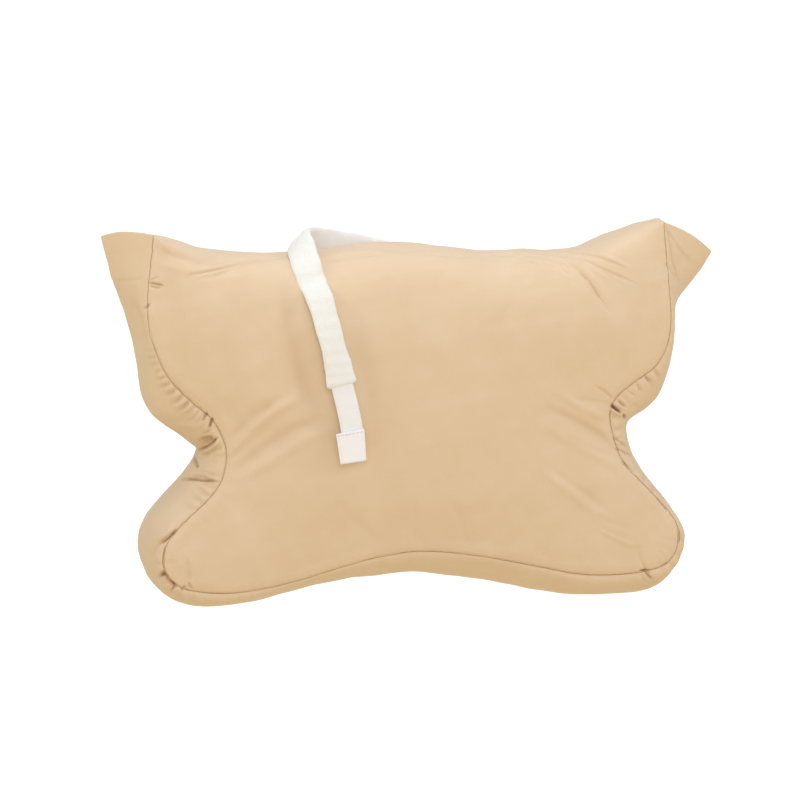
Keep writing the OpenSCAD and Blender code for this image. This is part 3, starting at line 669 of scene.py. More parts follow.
def hash_noise(values, seed):
    table = np.random.default_rng(seed).uniform(-1, 1, 4096)
    cell = np.floor(values).astype(int)
    t = smoothstep(values - cell)
    return table[cell % 4096] * (1 - t) + table[(cell + 1) % 4096] * t


def run_to(x, z):
    """Length along the seam to its place nearest x, z."""
    return stops[np.argmin((dense_front[:, 0] - x) ** 2 + (dense_front[:, 2] - z) ** 2)]


def stretch(a, b):
    """1 between two lengths along the seam, fading out at both ends."""
    fade = 12.0
    low, high = min(a, b), max(a, b)
    return smoothstep((run_at - low) / fade + 0.5) * smoothstep((high - run_at) / fade + 0.5)


# from x, z; to x, z; amplitude on the side band, on the panel; spacing; reach
GATHERS = [
    (-251, 281, -241, 230, 0.45, 0.05, 8.0, 9), (-241, 230, -200, 181, 1.75, 0.08, 7.2, 7.5),
    (-200, 181, -181, 140, 0.9, 0.12, 8.6, 9), (-181, 140, -211, 92, 0.8, 0.12, 10.5, 11),
    (-211, 92, -239, 54, 0.35, 0.2, 12.0, 10), (-239, 54, -200, 21, 0.7, 0.25, 9.5, 10),
    (-200, 21, 190, 23.5, 0.14, 0.1, 11.0, 9), (196, 24, 236, 56, 0.6, 0.25, 9.0, 11),
    (236, 60, 183, 128, 0.6, 0.12, 12.0, 10), (183, 128, 178, 184, 0.8, 0.15, 9.0, 8),
    (178, 184, 216, 213, 0.9, 0.06, 9.0, 8), (216, 213, 227.5, 305, 0.3, 0.06, 10.0, 10)]
GATHER_GAIN, FOLD_GAIN = 1.35, 1.45
GATHER_SHADE_PAINT, FOLD_SHADE_PAINT = 0.11, 0.19     # how much painted shade a valley gets in the cloth's colour

push = np.zeros(len(points))            # along the normal, mm
painted_crease_shade = np.zeros(len(points))          # painted shade: how deep in a valley, darkens the cloth's colour
# seam groove and the cloth puffed up beside it
free_ear = (smoothstep((points[:, 2] - 262) / 20)
            * smoothstep((np.abs(points[:, 0] + 12) - 215) / 12))
push -= 0.9 * np.exp(-(gap / 1.6) ** 2) * (1 - 0.85 * free_ear)
push += 0.5 * np.exp(-((gap - 7) / 4.5) ** 2) * (1 - free_ear)
side_seed = np.where(at_front, 0, 57)
for g, (x0, z0, x1, z1, band_amp, panel_amp, spacing, reach) in enumerate(GATHERS):
    phase = run_at / spacing + 0.35 * hash_noise(run_at / 23 + side_seed, 11 + g)
    wave = np.cos(2 * math.pi * phase)
    # broad ridges with narrow valleys
    wave = np.where(wave > 0, -np.abs(wave) ** 1.6, 0.75 * np.abs(wave) ** 0.8)
    uneven = 0.5 + 0.6 * hash_noise(run_at / spacing / 1.7 + side_seed, 31 + g)
    uneven = uneven * np.where(at_front, 1.0, 0.3)
    envelope = np.exp(-((gap - 5) / reach) ** 2) * smoothstep(gap / 2.5)
    pucker = (GATHER_GAIN * stretch(run_to(x0, z0), run_to(x1, z1)) * envelope * uneven * wave
              * np.where(on_band, band_amp, panel_amp))
    push += pucker
    # painted shade: the gathers' valleys darken the cloth's colour
    painted_crease_shade += GATHER_SHADE_PAINT * np.maximum(-pucker, 0)

# ------------------------------------------------------------------ press the folds in
seen = on_view_plane(points)
facing = normals @ TO_CAMERA


def fold(line, width, height):
    margin = 4 * width
    near = np.all((seen > line.min(0) - margin) & (seen < line.max(0) + margin), axis=1)
    ids = np.where(near & (facing > -0.35))[0]
    lengths = np.hypot(*np.diff(line, axis=0).T)
    best = np.full(len(ids), 1e9)
    along = np.zeros(len(ids))
    run = 0.0
    for k, length in enumerate(lengths):
        distance, t = segment_distance(seen[ids], line[k], line[k + 1])
        along = np.where(distance < best, (run + t * length) / lengths.sum(), along)
        best = np.minimum(best, distance)
        run += length
    taper = np.clip(np.minimum(along, 1 - along) * 4 + 0.25, 0, 1)
    profile = np.exp(-(best / width) ** 2)
    push[ids] += FOLD_GAIN * height * profile * taper
    # painted shade: narrow valleys darken the cloth's colour
    if height < 0:
        painted_crease_shade[ids] += FOLD_SHADE_PAINT * max(0, -height - 0.8) * profile * taper ** 0.5


for line, width, height in FOLDS:
    fold(line, width, height)
# quiet unevenness of the filling: wavelength, amplitude
for wavelength, amplitude in [(60, 0.9), (26, 0.35), (13, 0.14)]:
    for _ in range(5):
        direction = rng.normal(size=3)
        direction /= np.linalg.norm(direction)
        push += amplitude * 0.27 * np.sin(
            points @ direction * 2 * math.pi / (wavelength * rng.uniform(0.8, 1.25))
            + rng.uniform(0, 6.28)) * smoothstep(gap / 14)
# the resting edge stays flat
shaped = points + normals * (push * smoothstep(points[:, 2] / 3.0))[:, None]
shaped[:, 2] = np.maximum(shaped[:, 2], 0.0)
move_vertices(fine, to_world(shaped))


# ------------------------------------------------------------------ materials
def new_material(name):
    mat = bpy.data.materials.new(name)
    mat.use_nodes = True
    return mat, mat.node_tree, mat.node_tree.nodes["Principled BSDF"]


def srgb(*channels):
    """Linear colour from 0-255 values."""
    shares = [v / 255 for v in channels]
    return (*[v / 12.92 if v <= 0.04045 else ((v + 0.055) / 1.055) ** 2.4 for v in shares], 1)


def plug(tree, socket, value):
    """Link another node's output, or set a plain value."""
    if isinstance(value, bpy.types.NodeSocket):
        tree.links.new(value, socket)
    else:
        socket.default_value = value


def node(tree, kind, **values):
    new = tree.nodes.new(kind)
    for key, value in values.items():
        if key in new.inputs.keys():
            plug(tree, new.inputs[key], value)
        else:
            setattr(new, key, value)
    return new


def calc(tree, operation, a, b):
    new = node(tree, "ShaderNodeMath", operation=operation)
    plug(tree, new.inputs[0], a)
    plug(tree, new.inputs[1], b)
    return new.outputs[0]


def map_range(tree, value, from_min=0, from_max=1, to_min=0, to_max=1):
    new = node(tree, "ShaderNodeMapRange")
    for k, setting in enumerate((value, from_min, from_max, to_min, to_max)):
        plug(tree, new.inputs[k], setting)
    return new.outputs[0]


def mix_color(tree, factor, a, b):
    new = node(tree, "ShaderNodeMix", data_type="RGBA")
    for k, setting in ((0, factor), (6, a), (7, b)):
        plug(tree, new.inputs[k], setting)
    return new.outputs[2]


def mix_shader(tree, factor, a, b):
    new = node(tree, "ShaderNodeMixShader")
    for k, setting in enumerate((factor, a, b)):
        if setting is not None:
            plug(tree, new.inputs[k], setting)
    return new.outputs[0]


def cloth_material(name, light, dark, period=0.55e-3, rough=0.62, sheen=0.18, bump=0.25,
                   mottling=0.35, spec=0.25, fuzz=0.0, glow=0.0, crease_shade_color=None):
    """Woven cloth: crossed threads (period in m), slubs, patchy tone, soft sheen, painted shade in
    valleys and an optional painted glow.
    """
    mat, tree, shader = new_material(name)

    def times(a, b):
        return calc(tree, "MULTIPLY", a, b)

    def plus(a, b):
        return calc(tree, "ADD", a, b)

    place = node(tree, "ShaderNodeTexCoord").outputs["Object"]
    x, y, z = node(tree, "ShaderNodeSeparateXYZ", Vector=place).outputs
    level = plus(x, y)
    woven = node(tree, "ShaderNodeCombineXYZ", X=level, Y=z)
    turns = 2 * math.pi / period
    warp = calc(tree, "SINE", times(level, turns), 0)
    weft = calc(tree, "SINE", times(z, turns), 0)
    weave = times(warp, weft)
    grain = node(tree, "ShaderNodeTexNoise", Vector=place, Scale=1.0 / 0.0011, Detail=3.0,
                 Roughness=0.6).outputs["Fac"]
    patches = node(tree, "ShaderNodeTexNoise", Vector=place, Scale=28.0, Detail=4.0,
                   Roughness=0.55).outputs["Fac"]
    stretched = node(tree, "ShaderNodeMapping", Vector=woven.outputs[0], Scale=(60, 1500, 1))
    slub = node(tree, "ShaderNodeTexNoise", Vector=stretched.outputs[0], Scale=1.0,
                Detail=2.0).outputs["Fac"]
    tone = plus(times(patches, 0.55), times(grain, mottling))
    tone = plus(tone, times(slub, 0.2))
    base = mix_color(tree, map_range(tree, tone, from_min=0.3, from_max=0.85), dark, light)
    # painted shade: the valley attribute mixes the colour towards a dark brown
    if crease_shade_color:
        depth = node(tree, "ShaderNodeAttribute", attribute_name="painted_crease_shade")
        base = mix_color(tree, depth.outputs["Fac"], base, crease_shade_color)
    plug(tree, shader.inputs["Base Color"], base)
    if glow:
        # painted light: a faint bluish emission makes the white strap parts brighter than the lamps
        # alone make them
        shader.inputs["Emission Color"].default_value = (0.84, 0.95, 0.98, 1)
        shader.inputs["Emission Strength"].default_value = glow
    height = plus(times(weave, 0.35), times(grain, 1.0 + fuzz))
    height = plus(height, times(slub, 0.4))
    relief = node(tree, "ShaderNodeBump", Strength=bump, Distance=0.0004, Height=height)
    plug(tree, shader.inputs["Normal"], relief.outputs[0])
    roughness = map_range(tree, grain, to_min=rough - 0.06, to_max=rough + 0.08)
    plug(tree, shader.inputs["Roughness"], roughness)
    shader.inputs["Specular IOR Level"].default_value = spec
    shader.inputs["Sheen Weight"].default_value = sheen
    shader.inputs["Sheen Roughness"].default_value = 0.45
    return mat


# the dark brown colour is painted shade for the cloth's valleys
TAN = cloth_material(
    "satin_cotton_tan", light=srgb(228, 204, 176), dark=srgb(220, 193, 159), rough=0.5,
    sheen=0.14, spec=0.38, crease_shade_color=srgb(150, 84, 34))
THREAD = cloth_material(
    "tan_thread", light=srgb(196, 160, 116), dark=srgb(172, 136, 94), period=0.35e-3, rough=0.8,
    sheen=0.1, bump=0.5)
HEM_THREAD = cloth_material(
    "tan_topstitch", light=srgb(206, 172, 130), dark=srgb(186, 150, 108), period=0.35e-3,
    rough=0.7, bump=0.5)
TICKING = cloth_material(
    "white_ticking", light=srgb(238, 236, 230), dark=srgb(228, 226, 219), period=0.7e-3,
    rough=0.8, sheen=0.1)
FIBRE = cloth_material(
    "fibre_fill", light=srgb(245, 245, 243), dark=srgb(232, 232, 230), period=1.5e-3, rough=0.95,
    sheen=0.4, bump=0.8, fuzz=1.0)
# painted light: glow makes the white strap parts below emit a little light
FLEECE = cloth_material(
    "white_fleece", light=srgb(235, 233, 231), dark=srgb(229, 225, 220), period=1.4e-3,
    rough=0.95, sheen=0.5, bump=0.85, mottling=0.5, spec=0.1, fuzz=1.2, glow=0.125)
TAPE = cloth_material(
    "white_tape", light=srgb(245, 244, 247), dark=srgb(238, 236, 239), period=0.8e-3, rough=0.7,
    sheen=0.15, bump=0.5, mottling=0.2, glow=0.07)
LOOPS = cloth_material(
    "white_loop_tape", light=srgb(247, 246, 250), dark=srgb(240, 239, 243), period=0.9e-3,
    rough=0.85, sheen=0.35, bump=0.8, mottling=0.4, fuzz=0.8, glow=0.07)
HOOKS = cloth_material(
    "white_hook_tape", light=srgb(250, 249, 254), dark=srgb(246, 243, 249), period=1.2e-3,
    rough=0.45, sheen=0.0, bump=0.9, mottling=0.15, spec=0.5, glow=0.07)
WHITE_THREAD = cloth_material(
    "white_thread", light=srgb(236, 228, 218), dark=srgb(222, 212, 200), period=0.35e-3,
    rough=0.7, bump=0.5)


# ------------------------------------------------------------------ piece helpers
def finish(obj, mat, slot, body, *nodes):
    """Material, smooth shading, the body it rides on (if one) and the CAD nodes it replaces; slot is
    not used.
    """
    obj.data.materials.clear()
    obj.data.materials.append(mat)
    obj.data.polygons.foreach_set("use_smooth", [True] * len(obj.data.polygons))
    if body:
        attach(obj, body)
    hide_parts(*nodes)
    return obj


def thicken(obj, thickness, offset=0):
    solidify = obj.modifiers.new("cloth_thickness", "SOLIDIFY")
    solidify.thickness = thickness * MM
    solidify.offset = offset


def grid_mesh(name, rows, closed=False):
    """Faces over rows of points; closed joins each row's end to its start."""
    n = len(rows[0])
    grid = [[i * n + j, (i + 1) * n + j, (i + 1) * n + (j + 1) % n, i * n + (j + 1) % n]
            for i in range(len(rows) - 1) for j in range(n if closed else n - 1)]
    return link(name, mesh_of(name, to_world([p for row in rows for p in row]), grid))


def ringed_mesh(name, rings, caps=(True, True)):
    """A skin over closed rings, capped at its start and end."""
    obj = grid_mesh(name, rings, closed=True)
    bm = bmesh.new()
    bm.from_mesh(obj.data)
    bm.verts.ensure_lookup_table()
    count = len(rings[0])
    if caps[0]:
        bm.faces.new([bm.verts[k] for k in range(count)])
    if caps[1]:
        bm.faces.new([bm.verts[len(bm.verts) - 1 - k] for k in range(count)])
    bmesh.ops.recalc_face_normals(bm, faces=bm.faces)
    bm.to_mesh(obj.data)
    bm.free()
    return obj


def tube(name, path, radius, sides=6):
    """A thread along a list of points."""
    path = np.asarray(path, float)
    tangent = np.gradient(path, axis=0)
    tangent /= np.linalg.norm(tangent, axis=1)[:, None] + 1e-12
    helper = np.tile([0.0, 1.0, 0.0], (len(path), 1))
    helper[np.abs(tangent[:, 1]) > 0.9] = [0, 0, 1]
    u = np.cross(tangent, helper)
    u /= np.linalg.norm(u, axis=1)[:, None]
    v = np.cross(tangent, u)
    angles = np.linspace(0, 2 * math.pi, sides, endpoint=False)
    return ringed_mesh(name, [[path[k] + radius * (math.cos(a) * u[k] + math.sin(a) * v[k])
                               for a in angles] for k in range(len(path))])


def join(name, objs):
    all_points, all_faces, count = [], [], 0
    for obj in objs:
        own = vertex_values(obj.data, "co")
        all_points.append(own)
        all_faces += [[v + count for v in p.vertices] for p in obj.data.polygons]
        count += len(own)
        bpy.data.objects.remove(obj)
    return link(name, mesh_of(name, np.vstack(all_points), all_faces))


# ------------------------------------------------------------------ split the case at its seams
def region(name, tag):
    keep = [polygons[k] for k in range(len(polygons)) if part[k] == tag]
    used = sorted({v for f in keep for v in f})
    new_id = {v: i for i, v in enumerate(used)}
    mesh = mesh_of(name, to_world(shaped)[used], [[new_id[v] for v in f] for f in keep])
    # painted shade of the valleys, carried to the material as an attribute
    layer = mesh.attributes.new("painted_crease_shade", "FLOAT", "POINT")
    layer.data.foreach_set("value", np.clip(painted_crease_shade[used], 0, 0.85).astype(np.float32))
    return link(name, mesh)


front = region("case_front_and_top", FRONT_AND_TOP)
band = region("case_side_band", BAND)
rear = region("case_back", REAR)
flap_roll = region("flap_roll", FLAP)
for obj, cad_node in ((front, "cover_front_panel"), (band, "cover_boxing_strip"),
                      (rear, "cover_back_panel")):
    thicken(obj, 1.0, offset=-1)
    finish(obj, TAN, "cover_cotton", "cushion", cad_node)

case_surface = BVHTree.FromPolygons([Vector(p) for p in to_world(shaped)], polygons)


def surface_y(x, z, sign):
    """y of the case's front (-1) or back (+1) at x, z, or None beside the case."""
    start = Vector(to_world([x, sign * 200.0, z]))
    hit = case_surface.ray_cast(start, Vector((0, -sign, 0)))[0]
    return None if hit is None else hit.y / MM - SHIFT[1]


# ------------------------------------------------------------------ threads in the seam grooves
shaped_tree = tree_of(shaped)


def seam_thread(name, seam):
    path = []
    for p in seam:
        place, k, _ = shaped_tree.find(Vector(p))
        path.append(np.array(place) + normals[k] * 0.05)
    kept = [path[0]]
    for p in path[1:]:
        if np.linalg.norm(p - kept[-1]) > 1.5:
            kept.append(p)
    path = np.array(kept)
    for _ in range(2):
        path[1:-1] = 0.25 * path[:-2] + 0.5 * path[1:-1] + 0.25 * path[2:]
    path[:, 2] = np.maximum(path[:, 2], 0.5)
    return tube(name, path, 0.23)


for name, seam in (("front", dense_front), ("back", dense_back)):
    finish(seam_thread(f"{name}_seam_thread", seam), THREAD, "thread", "cushion",
           f"{name}_seam_stitching")

# ------------------------------------------------------------------ closing flap on the back
FLAP_TOP, FLAP_LENGTH = 291.0, 62.0
HEM_ROW = 19                            # the hem starts at this row of the flap's 26

rows = []
for x in np.linspace(-FLAP_HALF, FLAP_HALF, 120):
    length = FLAP_LENGTH - 6 * (1 - smoothstep((FLAP_HALF - abs(x)) / 10))
    ripple = 0.8 * math.sin(x / 17.0) + 0.5 * math.sin(x / 7.3 + 1)
    column = []
    for v in np.linspace(0, 1, 26):
        z = FLAP_TOP - length * v
        y = surface_y(x, z, 1) or 44.0
        column.append([x * (1 - 0.02 * v), y + 0.9 + (0.4 + 0.5 * ripple) * v ** 2 + 0.5 * v, z])
    rows.append(column)
rows = np.array(rows)
for _ in range(2):
    rows[1:-1, :, 1] = 0.25 * rows[:-2, :, 1] + 0.5 * rows[1:-1, :, 1] + 0.25 * rows[2:, :, 1]
flap = join("case_closing_flap", [flap_roll, grid_mesh("flap_hanging", rows)])
thicken(flap, 1.0)
finish(flap, TAN, "cover_cotton", None, "closure_flap")

hem_rows = rows[1:-1, HEM_ROW:] + [0, 1.3, 0]
hem = grid_mesh("flap_hem", hem_rows)
thicken(hem, 0.9)
finish(hem, TAN, "cover_cotton", "closure_flap", "closure_flap_hem")

STITCH_PITCH, STITCH_LENGTH = 3.6, 2.6
line = rows[3:-3, HEM_ROW + 1] + [0, 2.1, 0]
run = np.concatenate([[0], np.cumsum(np.linalg.norm(np.diff(line, axis=0), axis=1))])
stitches = []
for start in np.arange(0, run[-1] - 3, STITCH_PITCH):
    along = np.linspace(start, start + STITCH_LENGTH, 4)
    path = np.stack([np.interp(along, run, line[:, k]) for k in range(3)], -1)
    stitches.append(tube("stitch", path, 0.28, 5))
finish(join("flap_hem_thread", stitches), HEM_THREAD, "thread", "closure_flap",
       "flap_hem_stitching")
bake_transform(flap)

# ------------------------------------------------------------------ strap: middle line
SLEEVE_WIDTH, SLEEVE_THICK = 24.0, 7.0
TAPE_WIDTH, TAPE_THICK = 20.0, 1.4
# x, y, z, outward direction: from behind the roll over the crest to the front
STRAP_LINE = [
    [-2, 48, 297, 0, 1, .15], [-7, 47, 304.5, 0, 1, .25], [-22, 44.5, 310.5, 0, .95, .3],
    [-43, 41, 315.5, 0, .97, .22], [-68, 35, 320.5, -.05, 1, .15],
    [-90, 22.5, 326, -.35, .8, .45], [-103, 1, 328.5, -.72, .1, .68],
    [-106.5, -21.5, 324, -.55, -.45, .68], [-106, -41, 310.5, -.2, -.85, .5],
    [-102.5, -50.5, 295.5, 0, -.97, .24]]
# x, z of the run that hangs down the front panel
HANGING_RUN = [[-98.6, 282.5], [-92.2, 255], [-85.6, 228], [-81.2, 207], [-76, 186],
               [-71.4, 163], [-68, 134.5]]
for x, z in HANGING_RUN:
    STRAP_LINE.append([x, surface_y(x, z, -1) - 1.5 - SLEEVE_THICK / 2, z, 0, -1, .12])
STRAP_LINE = np.array(STRAP_LINE, float)
line_out = STRAP_LINE[:, 3:]
# the hanging run stands a little off the cloth under the crest
stand_off = np.interp(np.arange(len(line_out)), [9.5, 11.5, 15, 17], [0, 3.0, 3.2, 2.4])
line_points = STRAP_LINE[:, :3] + line_out * stand_off[:, None]

# stations along the strap, counted in points of its line
U_SPLIT_1, U_CREST, U_SPLIT_2, U_FOLD, U_SPLIT_3 = 4.0, 9.0, 10.0, 11.0, 12.0
U_MOUTH, U_TAIL, U_TAB = 13.0, 14.2, 15.0
U_SLEEVE_END = U_MOUTH + 0.06


def strap_segment(u):
    i = int(min(len(line_points) - 2, max(0, math.floor(u))))
    return i, u - i


def strap_point(u):
    i, t = strap_segment(u)
    last = len(line_points) - 1
    return catmull_rom(line_points[max(0, i - 1)], line_points[i], line_points[i + 1],
                       line_points[min(last, i + 2)], t)


def strap_tangent(u):
    ahead = strap_point(u + .05) - strap_point(u - .05)
    return ahead / np.linalg.norm(ahead)


def strap_frame(u):
    """Place, direction across and direction outward."""
    i, t = strap_segment(u)
    tangent = strap_tangent(u)
    wide = np.cross(line_out[i] * (1 - t) + line_out[i + 1] * t, tangent)
    wide /= np.linalg.norm(wide)
    return strap_point(u), wide, np.cross(tangent, wide)


# ------------------------------------------------------------------ strap: sections and sweep
def padded_section():
    """Rounded section as across, outward."""
    ring = []
    for a in np.linspace(0, 2 * math.pi, 28, endpoint=False):
        ring.append([SLEEVE_WIDTH / 2 * math.copysign(abs(math.cos(a)) ** 0.55, math.cos(a)),
                     SLEEVE_THICK / 2 * math.copysign(abs(math.sin(a)) ** 0.8, math.sin(a))])
    return ring


def tape_section(width, thick):
    """Flat section with bevelled corners, as across, outward."""
    w, t, bevel = width / 2, thick / 2, 0.35 * thick
    under = np.array([[-w, -t + bevel], [-w + bevel, -t], [-w / 2, -t], [0, -t], [w / 2, -t],
                      [w - bevel, -t], [w, -t + bevel]])
    return np.vstack([under, -under])


def full_size(u):
    return 1, 1


def sweep(name, start, end, step, section, scale_at=full_size, across=0.0, outward=0.0,
          wobble=0.0, caps=(True, True)):
    """A section carried along the strap; across and outward shift it, wobble dents it."""
    count = max(3, int(round((end - start) / step)))
    rings = []
    for u in np.linspace(start, end, count + 1):
        place, wide, out = strap_frame(u)
        scale = scale_at(u)
        ring = []
        for a, b in section:
            p = place + wide * (a * scale[0] + across) + out * (b * scale[1] + outward)
            if wobble:
                dent = math.sin(p[0] * 0.41 + p[2] * 0.33) * math.sin(u * 9.1 + a * 0.4)
                shear = 0.7 * math.sin(u * 6.3 + 1.3 * math.copysign(1, a))
                p = p + out * wobble * dent + wide * wobble * shear
            ring.append(p)
        rings.append(ring)
    return ringed_mesh(name, rings, caps)


def closed_end(u):
    """The sleeve's lower end, rounded off."""
    k = clamp01((U_SLEEVE_END - u) / 0.22)
    r = math.sqrt(max(0.0, 1 - (1 - k) ** 2))
    return 1.04 * (0.82 + 0.18 * r), 0.25 + 0.75 * r


def anchor_end(u):
    return 1.0, 0.35 + 0.65 * clamp01(u / 0.5)


# stations and the sleeve's share of its width there
SLEEVE_PROFILE = ([0, 5, 8, 10, 11, 11.6, 12.2, 12.8, 13.1],
                  [1.0, 1.1, 1.1, 1.0, 0.94, 0.93, 1.0, 1.09, 1.12])


def sleeve(name, start, end, step, caps, nodes, body=None, end_scale=full_size):
    def scale_at(u):
        wide, thick = end_scale(u)
        return wide * float(np.interp(u, *SLEEVE_PROFILE)), thick

    obj = sweep(name, start, end, step, padded_section(), scale_at, wobble=0.35, caps=caps)
    return finish(obj, FLEECE, "fleece", body, *nodes)


def tape(name, start, end, step, mat, slot, nodes, body=None, width=TAPE_WIDTH,
         thick=TAPE_THICK, **placing):
    obj = sweep(name, start, end, step, tape_section(width, thick), **placing)
    return finish(obj, mat, slot, body, *nodes)


def bend(obj):
    """Bake obj's placement into its mesh."""
    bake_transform(obj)


# ------------------------------------------------------------------ strap: fleece sleeve
bend(sleeve("sleeve_at_anchor", 0.0, U_SPLIT_1, 0.08, (True, False), ["sleeve_rear"],
            end_scale=anchor_end))
bend(sleeve("sleeve_over_crest", U_SPLIT_1, U_SPLIT_2, 0.08, (False, False),
            ["sleeve_rear", "sleeve_upper"]))
bend(sleeve("sleeve_front_run", U_SPLIT_2, U_SPLIT_3, 0.06, (False, False),
            ["sleeve_upper", "sleeve_lower"]))
sleeve("sleeve_closed_end", U_SPLIT_3, U_SLEEVE_END, 0.04, (False, True), ["sleeve_lower"],
       body="strap_lower", end_scale=closed_end)

# ------------------------------------------------------------------ strap: tapes and hook patch
for name, start, end in (("rear", 2.8, U_CREST - 0.5), ("upper", U_CREST + 0.5, U_FOLD - 0.4),
                         ("lower", U_FOLD + 0.4, U_MOUTH - 0.3)):
    tape(f"tape_in_sleeve_{name}", start, end, 0.15, TAPE, "webbing", [f"webbing_{name}"],
         body=f"strap_{name}")
bend(tape("tape_out_of_sleeve", U_MOUTH - 0.3, U_TAIL, 0.05, LOOPS, "loop_tape",
          ["loop_tape"], caps=(True, False)))
bend(tape("tape_tail", U_TAIL, U_TAB + 0.78, 0.05, LOOPS, "loop_tape",
          ["loop_tape", "loop_tape_end"], caps=(False, True)))
tape("hook_patch", U_TAB - 0.08, U_TAB + 0.88, 0.08, HOOKS, "hook_tape", ["hook_tab"],
     body="strap_tab", width=26.0, thick=1.5, across=-2.4, outward=TAPE_THICK / 2 + 0.95,
     scale_at=lambda u: (1 - 0.1 * clamp01(u - U_TAB), 1))
tape("hook_patch_backing", U_TAB - 0.04, U_TAB + 0.82, 0.08, HOOKS, "hook_tape",
     ["hook_tab_backing"], body="strap_tab", width=19.0, thick=0.8,
     outward=-TAPE_THICK / 2 - 0.6)


# ------------------------------------------------------------------ strap: stitches
def stitch_row(name, u, last, first, outward):
    """Stitches across the strap, their ends sunk in."""
    place, wide, out = strap_frame(u)
    stitches = []
    for centre in np.arange(first, last, 3.4):
        path = [place + wide * (centre + share * STITCH_LENGTH) + out * (outward - sink)
                for share, sink in ((-0.5, 0.25), (-0.25, 0), (0.25, 0), (0.5, 0.25))]
        stitches.append(tube("stitch", path, 0.35))
    return join(name, stitches)


finish(stitch_row("sleeve_end_stitches", U_MOUTH - 0.12, first=-8.5, last=9,
                  outward=SLEEVE_THICK / 2 * 0.86),
       WHITE_THREAD, "white_thread", "strap_lower", "sleeve_end_stitching")
finish(stitch_row("hook_patch_stitches", U_TAB, first=-13, last=9,
                  outward=TAPE_THICK / 2 + 1.75),
       WHITE_THREAD, "white_thread", "strap_tab", "hook_tab_stitching")

# ------------------------------------------------------------------ anchor patch behind the roll
rows = np.array([[[x, (surface_y(x, z, 1) or 41) + 0.7, z] for z in np.linspace(288.5, 306.5, 12)]
                 for x in np.linspace(-22, 18, 24)])
patch = grid_mesh("strap_anchor_patch_cloth", rows)
thicken(patch, 0.9)
finish(patch, TAN, "cover_cotton", "cushion", "strap_anchor_patch")
stitches = []
for k in range(1, 22, 2):
    for row in (1, 10):
        a, b = rows[k, row], rows[k + 1, row]
        path = [a + [0, .55, 0], (a + b) / 2 + [0, .8, 0], b + [0, .55, 0]]
        stitches.append(tube("stitch", path, 0.3, 5))
finish(join("strap_anchor_stitches", stitches), HEM_THREAD, "thread", "cushion",
       "strap_anchor_stitching")

# ------------------------------------------------------------------ inner pillow
INNER_CENTRE = np.array([0, 0, 165])
TICKING_SCALE, FIBRE_SCALE = [0.95, 0.86, 0.93], [0.925, 0.81, 0.895]


def inner_layer(name, cad_node, scale, mat, slot, lump):
    """A lumpy copy of a CAD layer, drawn in a little so that the case's folds clear it."""
    mesh = frame["nodes"][cad_node].data.copy()
    obj = link(name, mesh)
    bm = bmesh.new()
    bm.from_mesh(mesh)
    bmesh.ops.remove_doubles(bm, verts=bm.verts, dist=1e-5)
    bmesh.ops.subdivide_edges(bm, edges=bm.edges, cuts=1, use_grid_fill=True)
    bm.to_mesh(mesh)
    bm.free()
    p = vertex_values(mesh, "co") / MM - SHIFT - INNER_CENTRE
    p = p * scale + INNER_CENTRE
    x, _, z = p.T
    swell = (np.sin(x / 17 + 2.1 * np.sin(z / 23)) * np.sin(z / 15 + 1.7 * np.sin(x / 31)) * lump)
    out = p - INNER_CENTRE
    p = p + out / np.linalg.norm(out, axis=1)[:, None] * swell[:, None]
    move_vertices(mesh, to_world(p))
    finish(obj, mat, slot, "cushion", cad_node)


for name, cad_name in (("front", "front"), ("back", "back"), ("band", "boxing")):
    inner_layer(f"inner_pillow_{name}", f"inner_ticking_{cad_name}", TICKING_SCALE, TICKING,
                "ticking_cotton", lump=0.7)
inner_layer("inner_fibre", "fibre_fill", FIBRE_SCALE, FIBRE, "fill_fibre", lump=2.0)


# ------------------------------------------------------------------ floor
def floor_material():
    """Near white to the camera, a warm glow to everything else."""
    mat, tree, shader = new_material("pale_floor")
    shader.inputs["Base Color"].default_value = (0.9, 0.9, 0.9, 1)
    shader.inputs["Roughness"].default_value = 0.9
    shader.inputs["Specular IOR Level"].default_value = 0.1
    white = node(tree, "ShaderNodeEmission", Strength=1.25, Color=(1, 1, 1, 1))
    seen_floor = mix_shader(tree, 0.85, shader.outputs[0], white.outputs[0])
    warm = node(tree, "ShaderNodeEmission", Strength=0.84, Color=(1.0, 0.86, 0.6, 1))
    rays = node(tree, "ShaderNodeLightPath")
    surface = mix_shader(tree, rays.outputs["Is Camera Ray"], warm.outputs[0], seen_floor)
    plug(tree, tree.nodes["Material Output"].inputs[0], surface)
    return mat


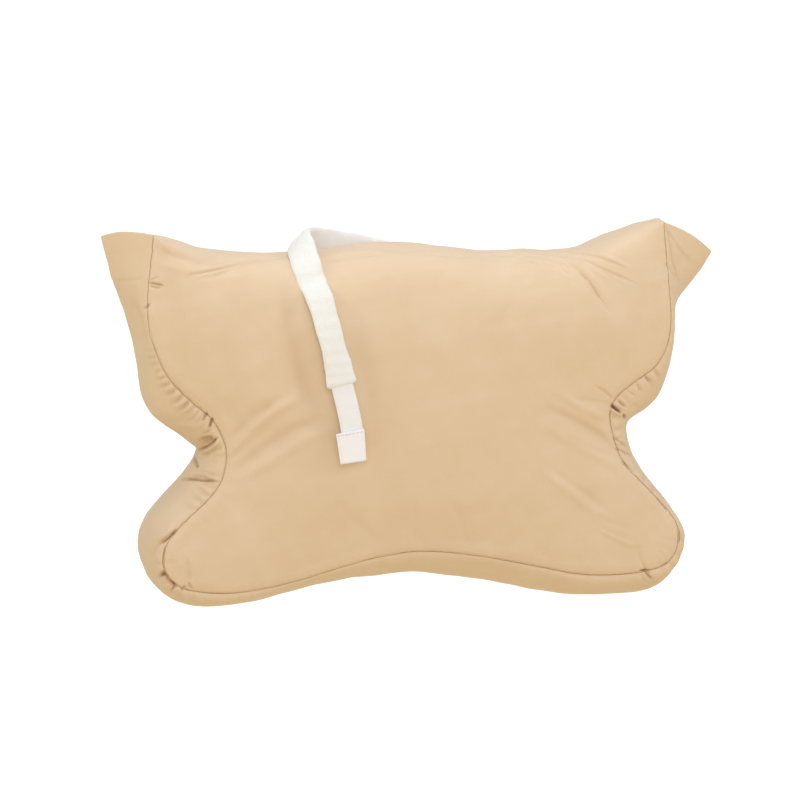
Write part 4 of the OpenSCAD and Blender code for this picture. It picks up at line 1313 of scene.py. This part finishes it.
FLOOR_HALF, FLOOR_Z = 9, -0.0004        # m
corners = [(x * FLOOR_HALF, y * FLOOR_HALF, FLOOR_Z)
           for x, y in ((-1, -1), (1, -1), (1, 1), (-1, 1))]
floor = link("floor", mesh_of("floor", corners, [[0, 1, 2, 3]]))
floor.data.materials.append(floor_material())

# ------------------------------------------------------------------ world and lights
world = scene.world or bpy.data.worlds.new("world")
scene.world = world
world.use_nodes = True
background = world.node_tree.nodes["Background"]
background.inputs[0].default_value = (1, 1, 1, 1)
rays = node(world.node_tree, "ShaderNodeLightPath")
strength = map_range(world.node_tree, rays.outputs["Is Camera Ray"], to_min=0.55, to_max=1.1)
plug(world.node_tree, background.inputs[1], strength)


def softbox(name, place, aim, size, power, color=(1, 1, 1)):
    light = bpy.data.lights.new(name, "AREA")
    light.shape = "RECTANGLE"
    light.size, light.size_y = size
    light.energy = power
    light.color = color
    obj = link(name, light)
    obj.location = place
    obj.rotation_euler = (Vector(aim) - Vector(place)).to_track_quat("-Z", "Y").to_euler()


softbox("softbox_top", place=(0.1, 0.0, 1.7), aim=(0, 0, 0.1), size=(1.6, 1.2), power=8.3,
        color=(0.98, 1.0, 1.04))
softbox("softbox_front", place=(-0.35, -1.8, 0.9), aim=(0, 0, 0.15), size=(1.2, 1.0), power=9.3)
softbox("softbox_right", place=(1.7, -1.0, 1.15), aim=(0, 0, 0.15), size=(0.6, 0.8), power=7.3)
softbox("softbox_left", place=(-1.7, -0.2, 1.45), aim=(-0.2, 0, 0.12), size=(0.6, 0.8),
        power=7.9, color=(0.96, 1.02, 0.93))

# ------------------------------------------------------------------ camera
scene.view_settings.view_transform = "Standard"
lens = bpy.data.cameras.new("camera")
lens.lens = CAMERA_LENS
lens.sensor_width = 36
lens.clip_end = 50
camera = link("camera", lens)
target = to_world(TARGET)
camera.location = Vector(target + TO_CAMERA * CAMERA_DISTANCE)
camera.rotation_euler = (Vector(target) - camera.location).to_track_quat("-Z", "Y").to_euler()
scene.camera = camera
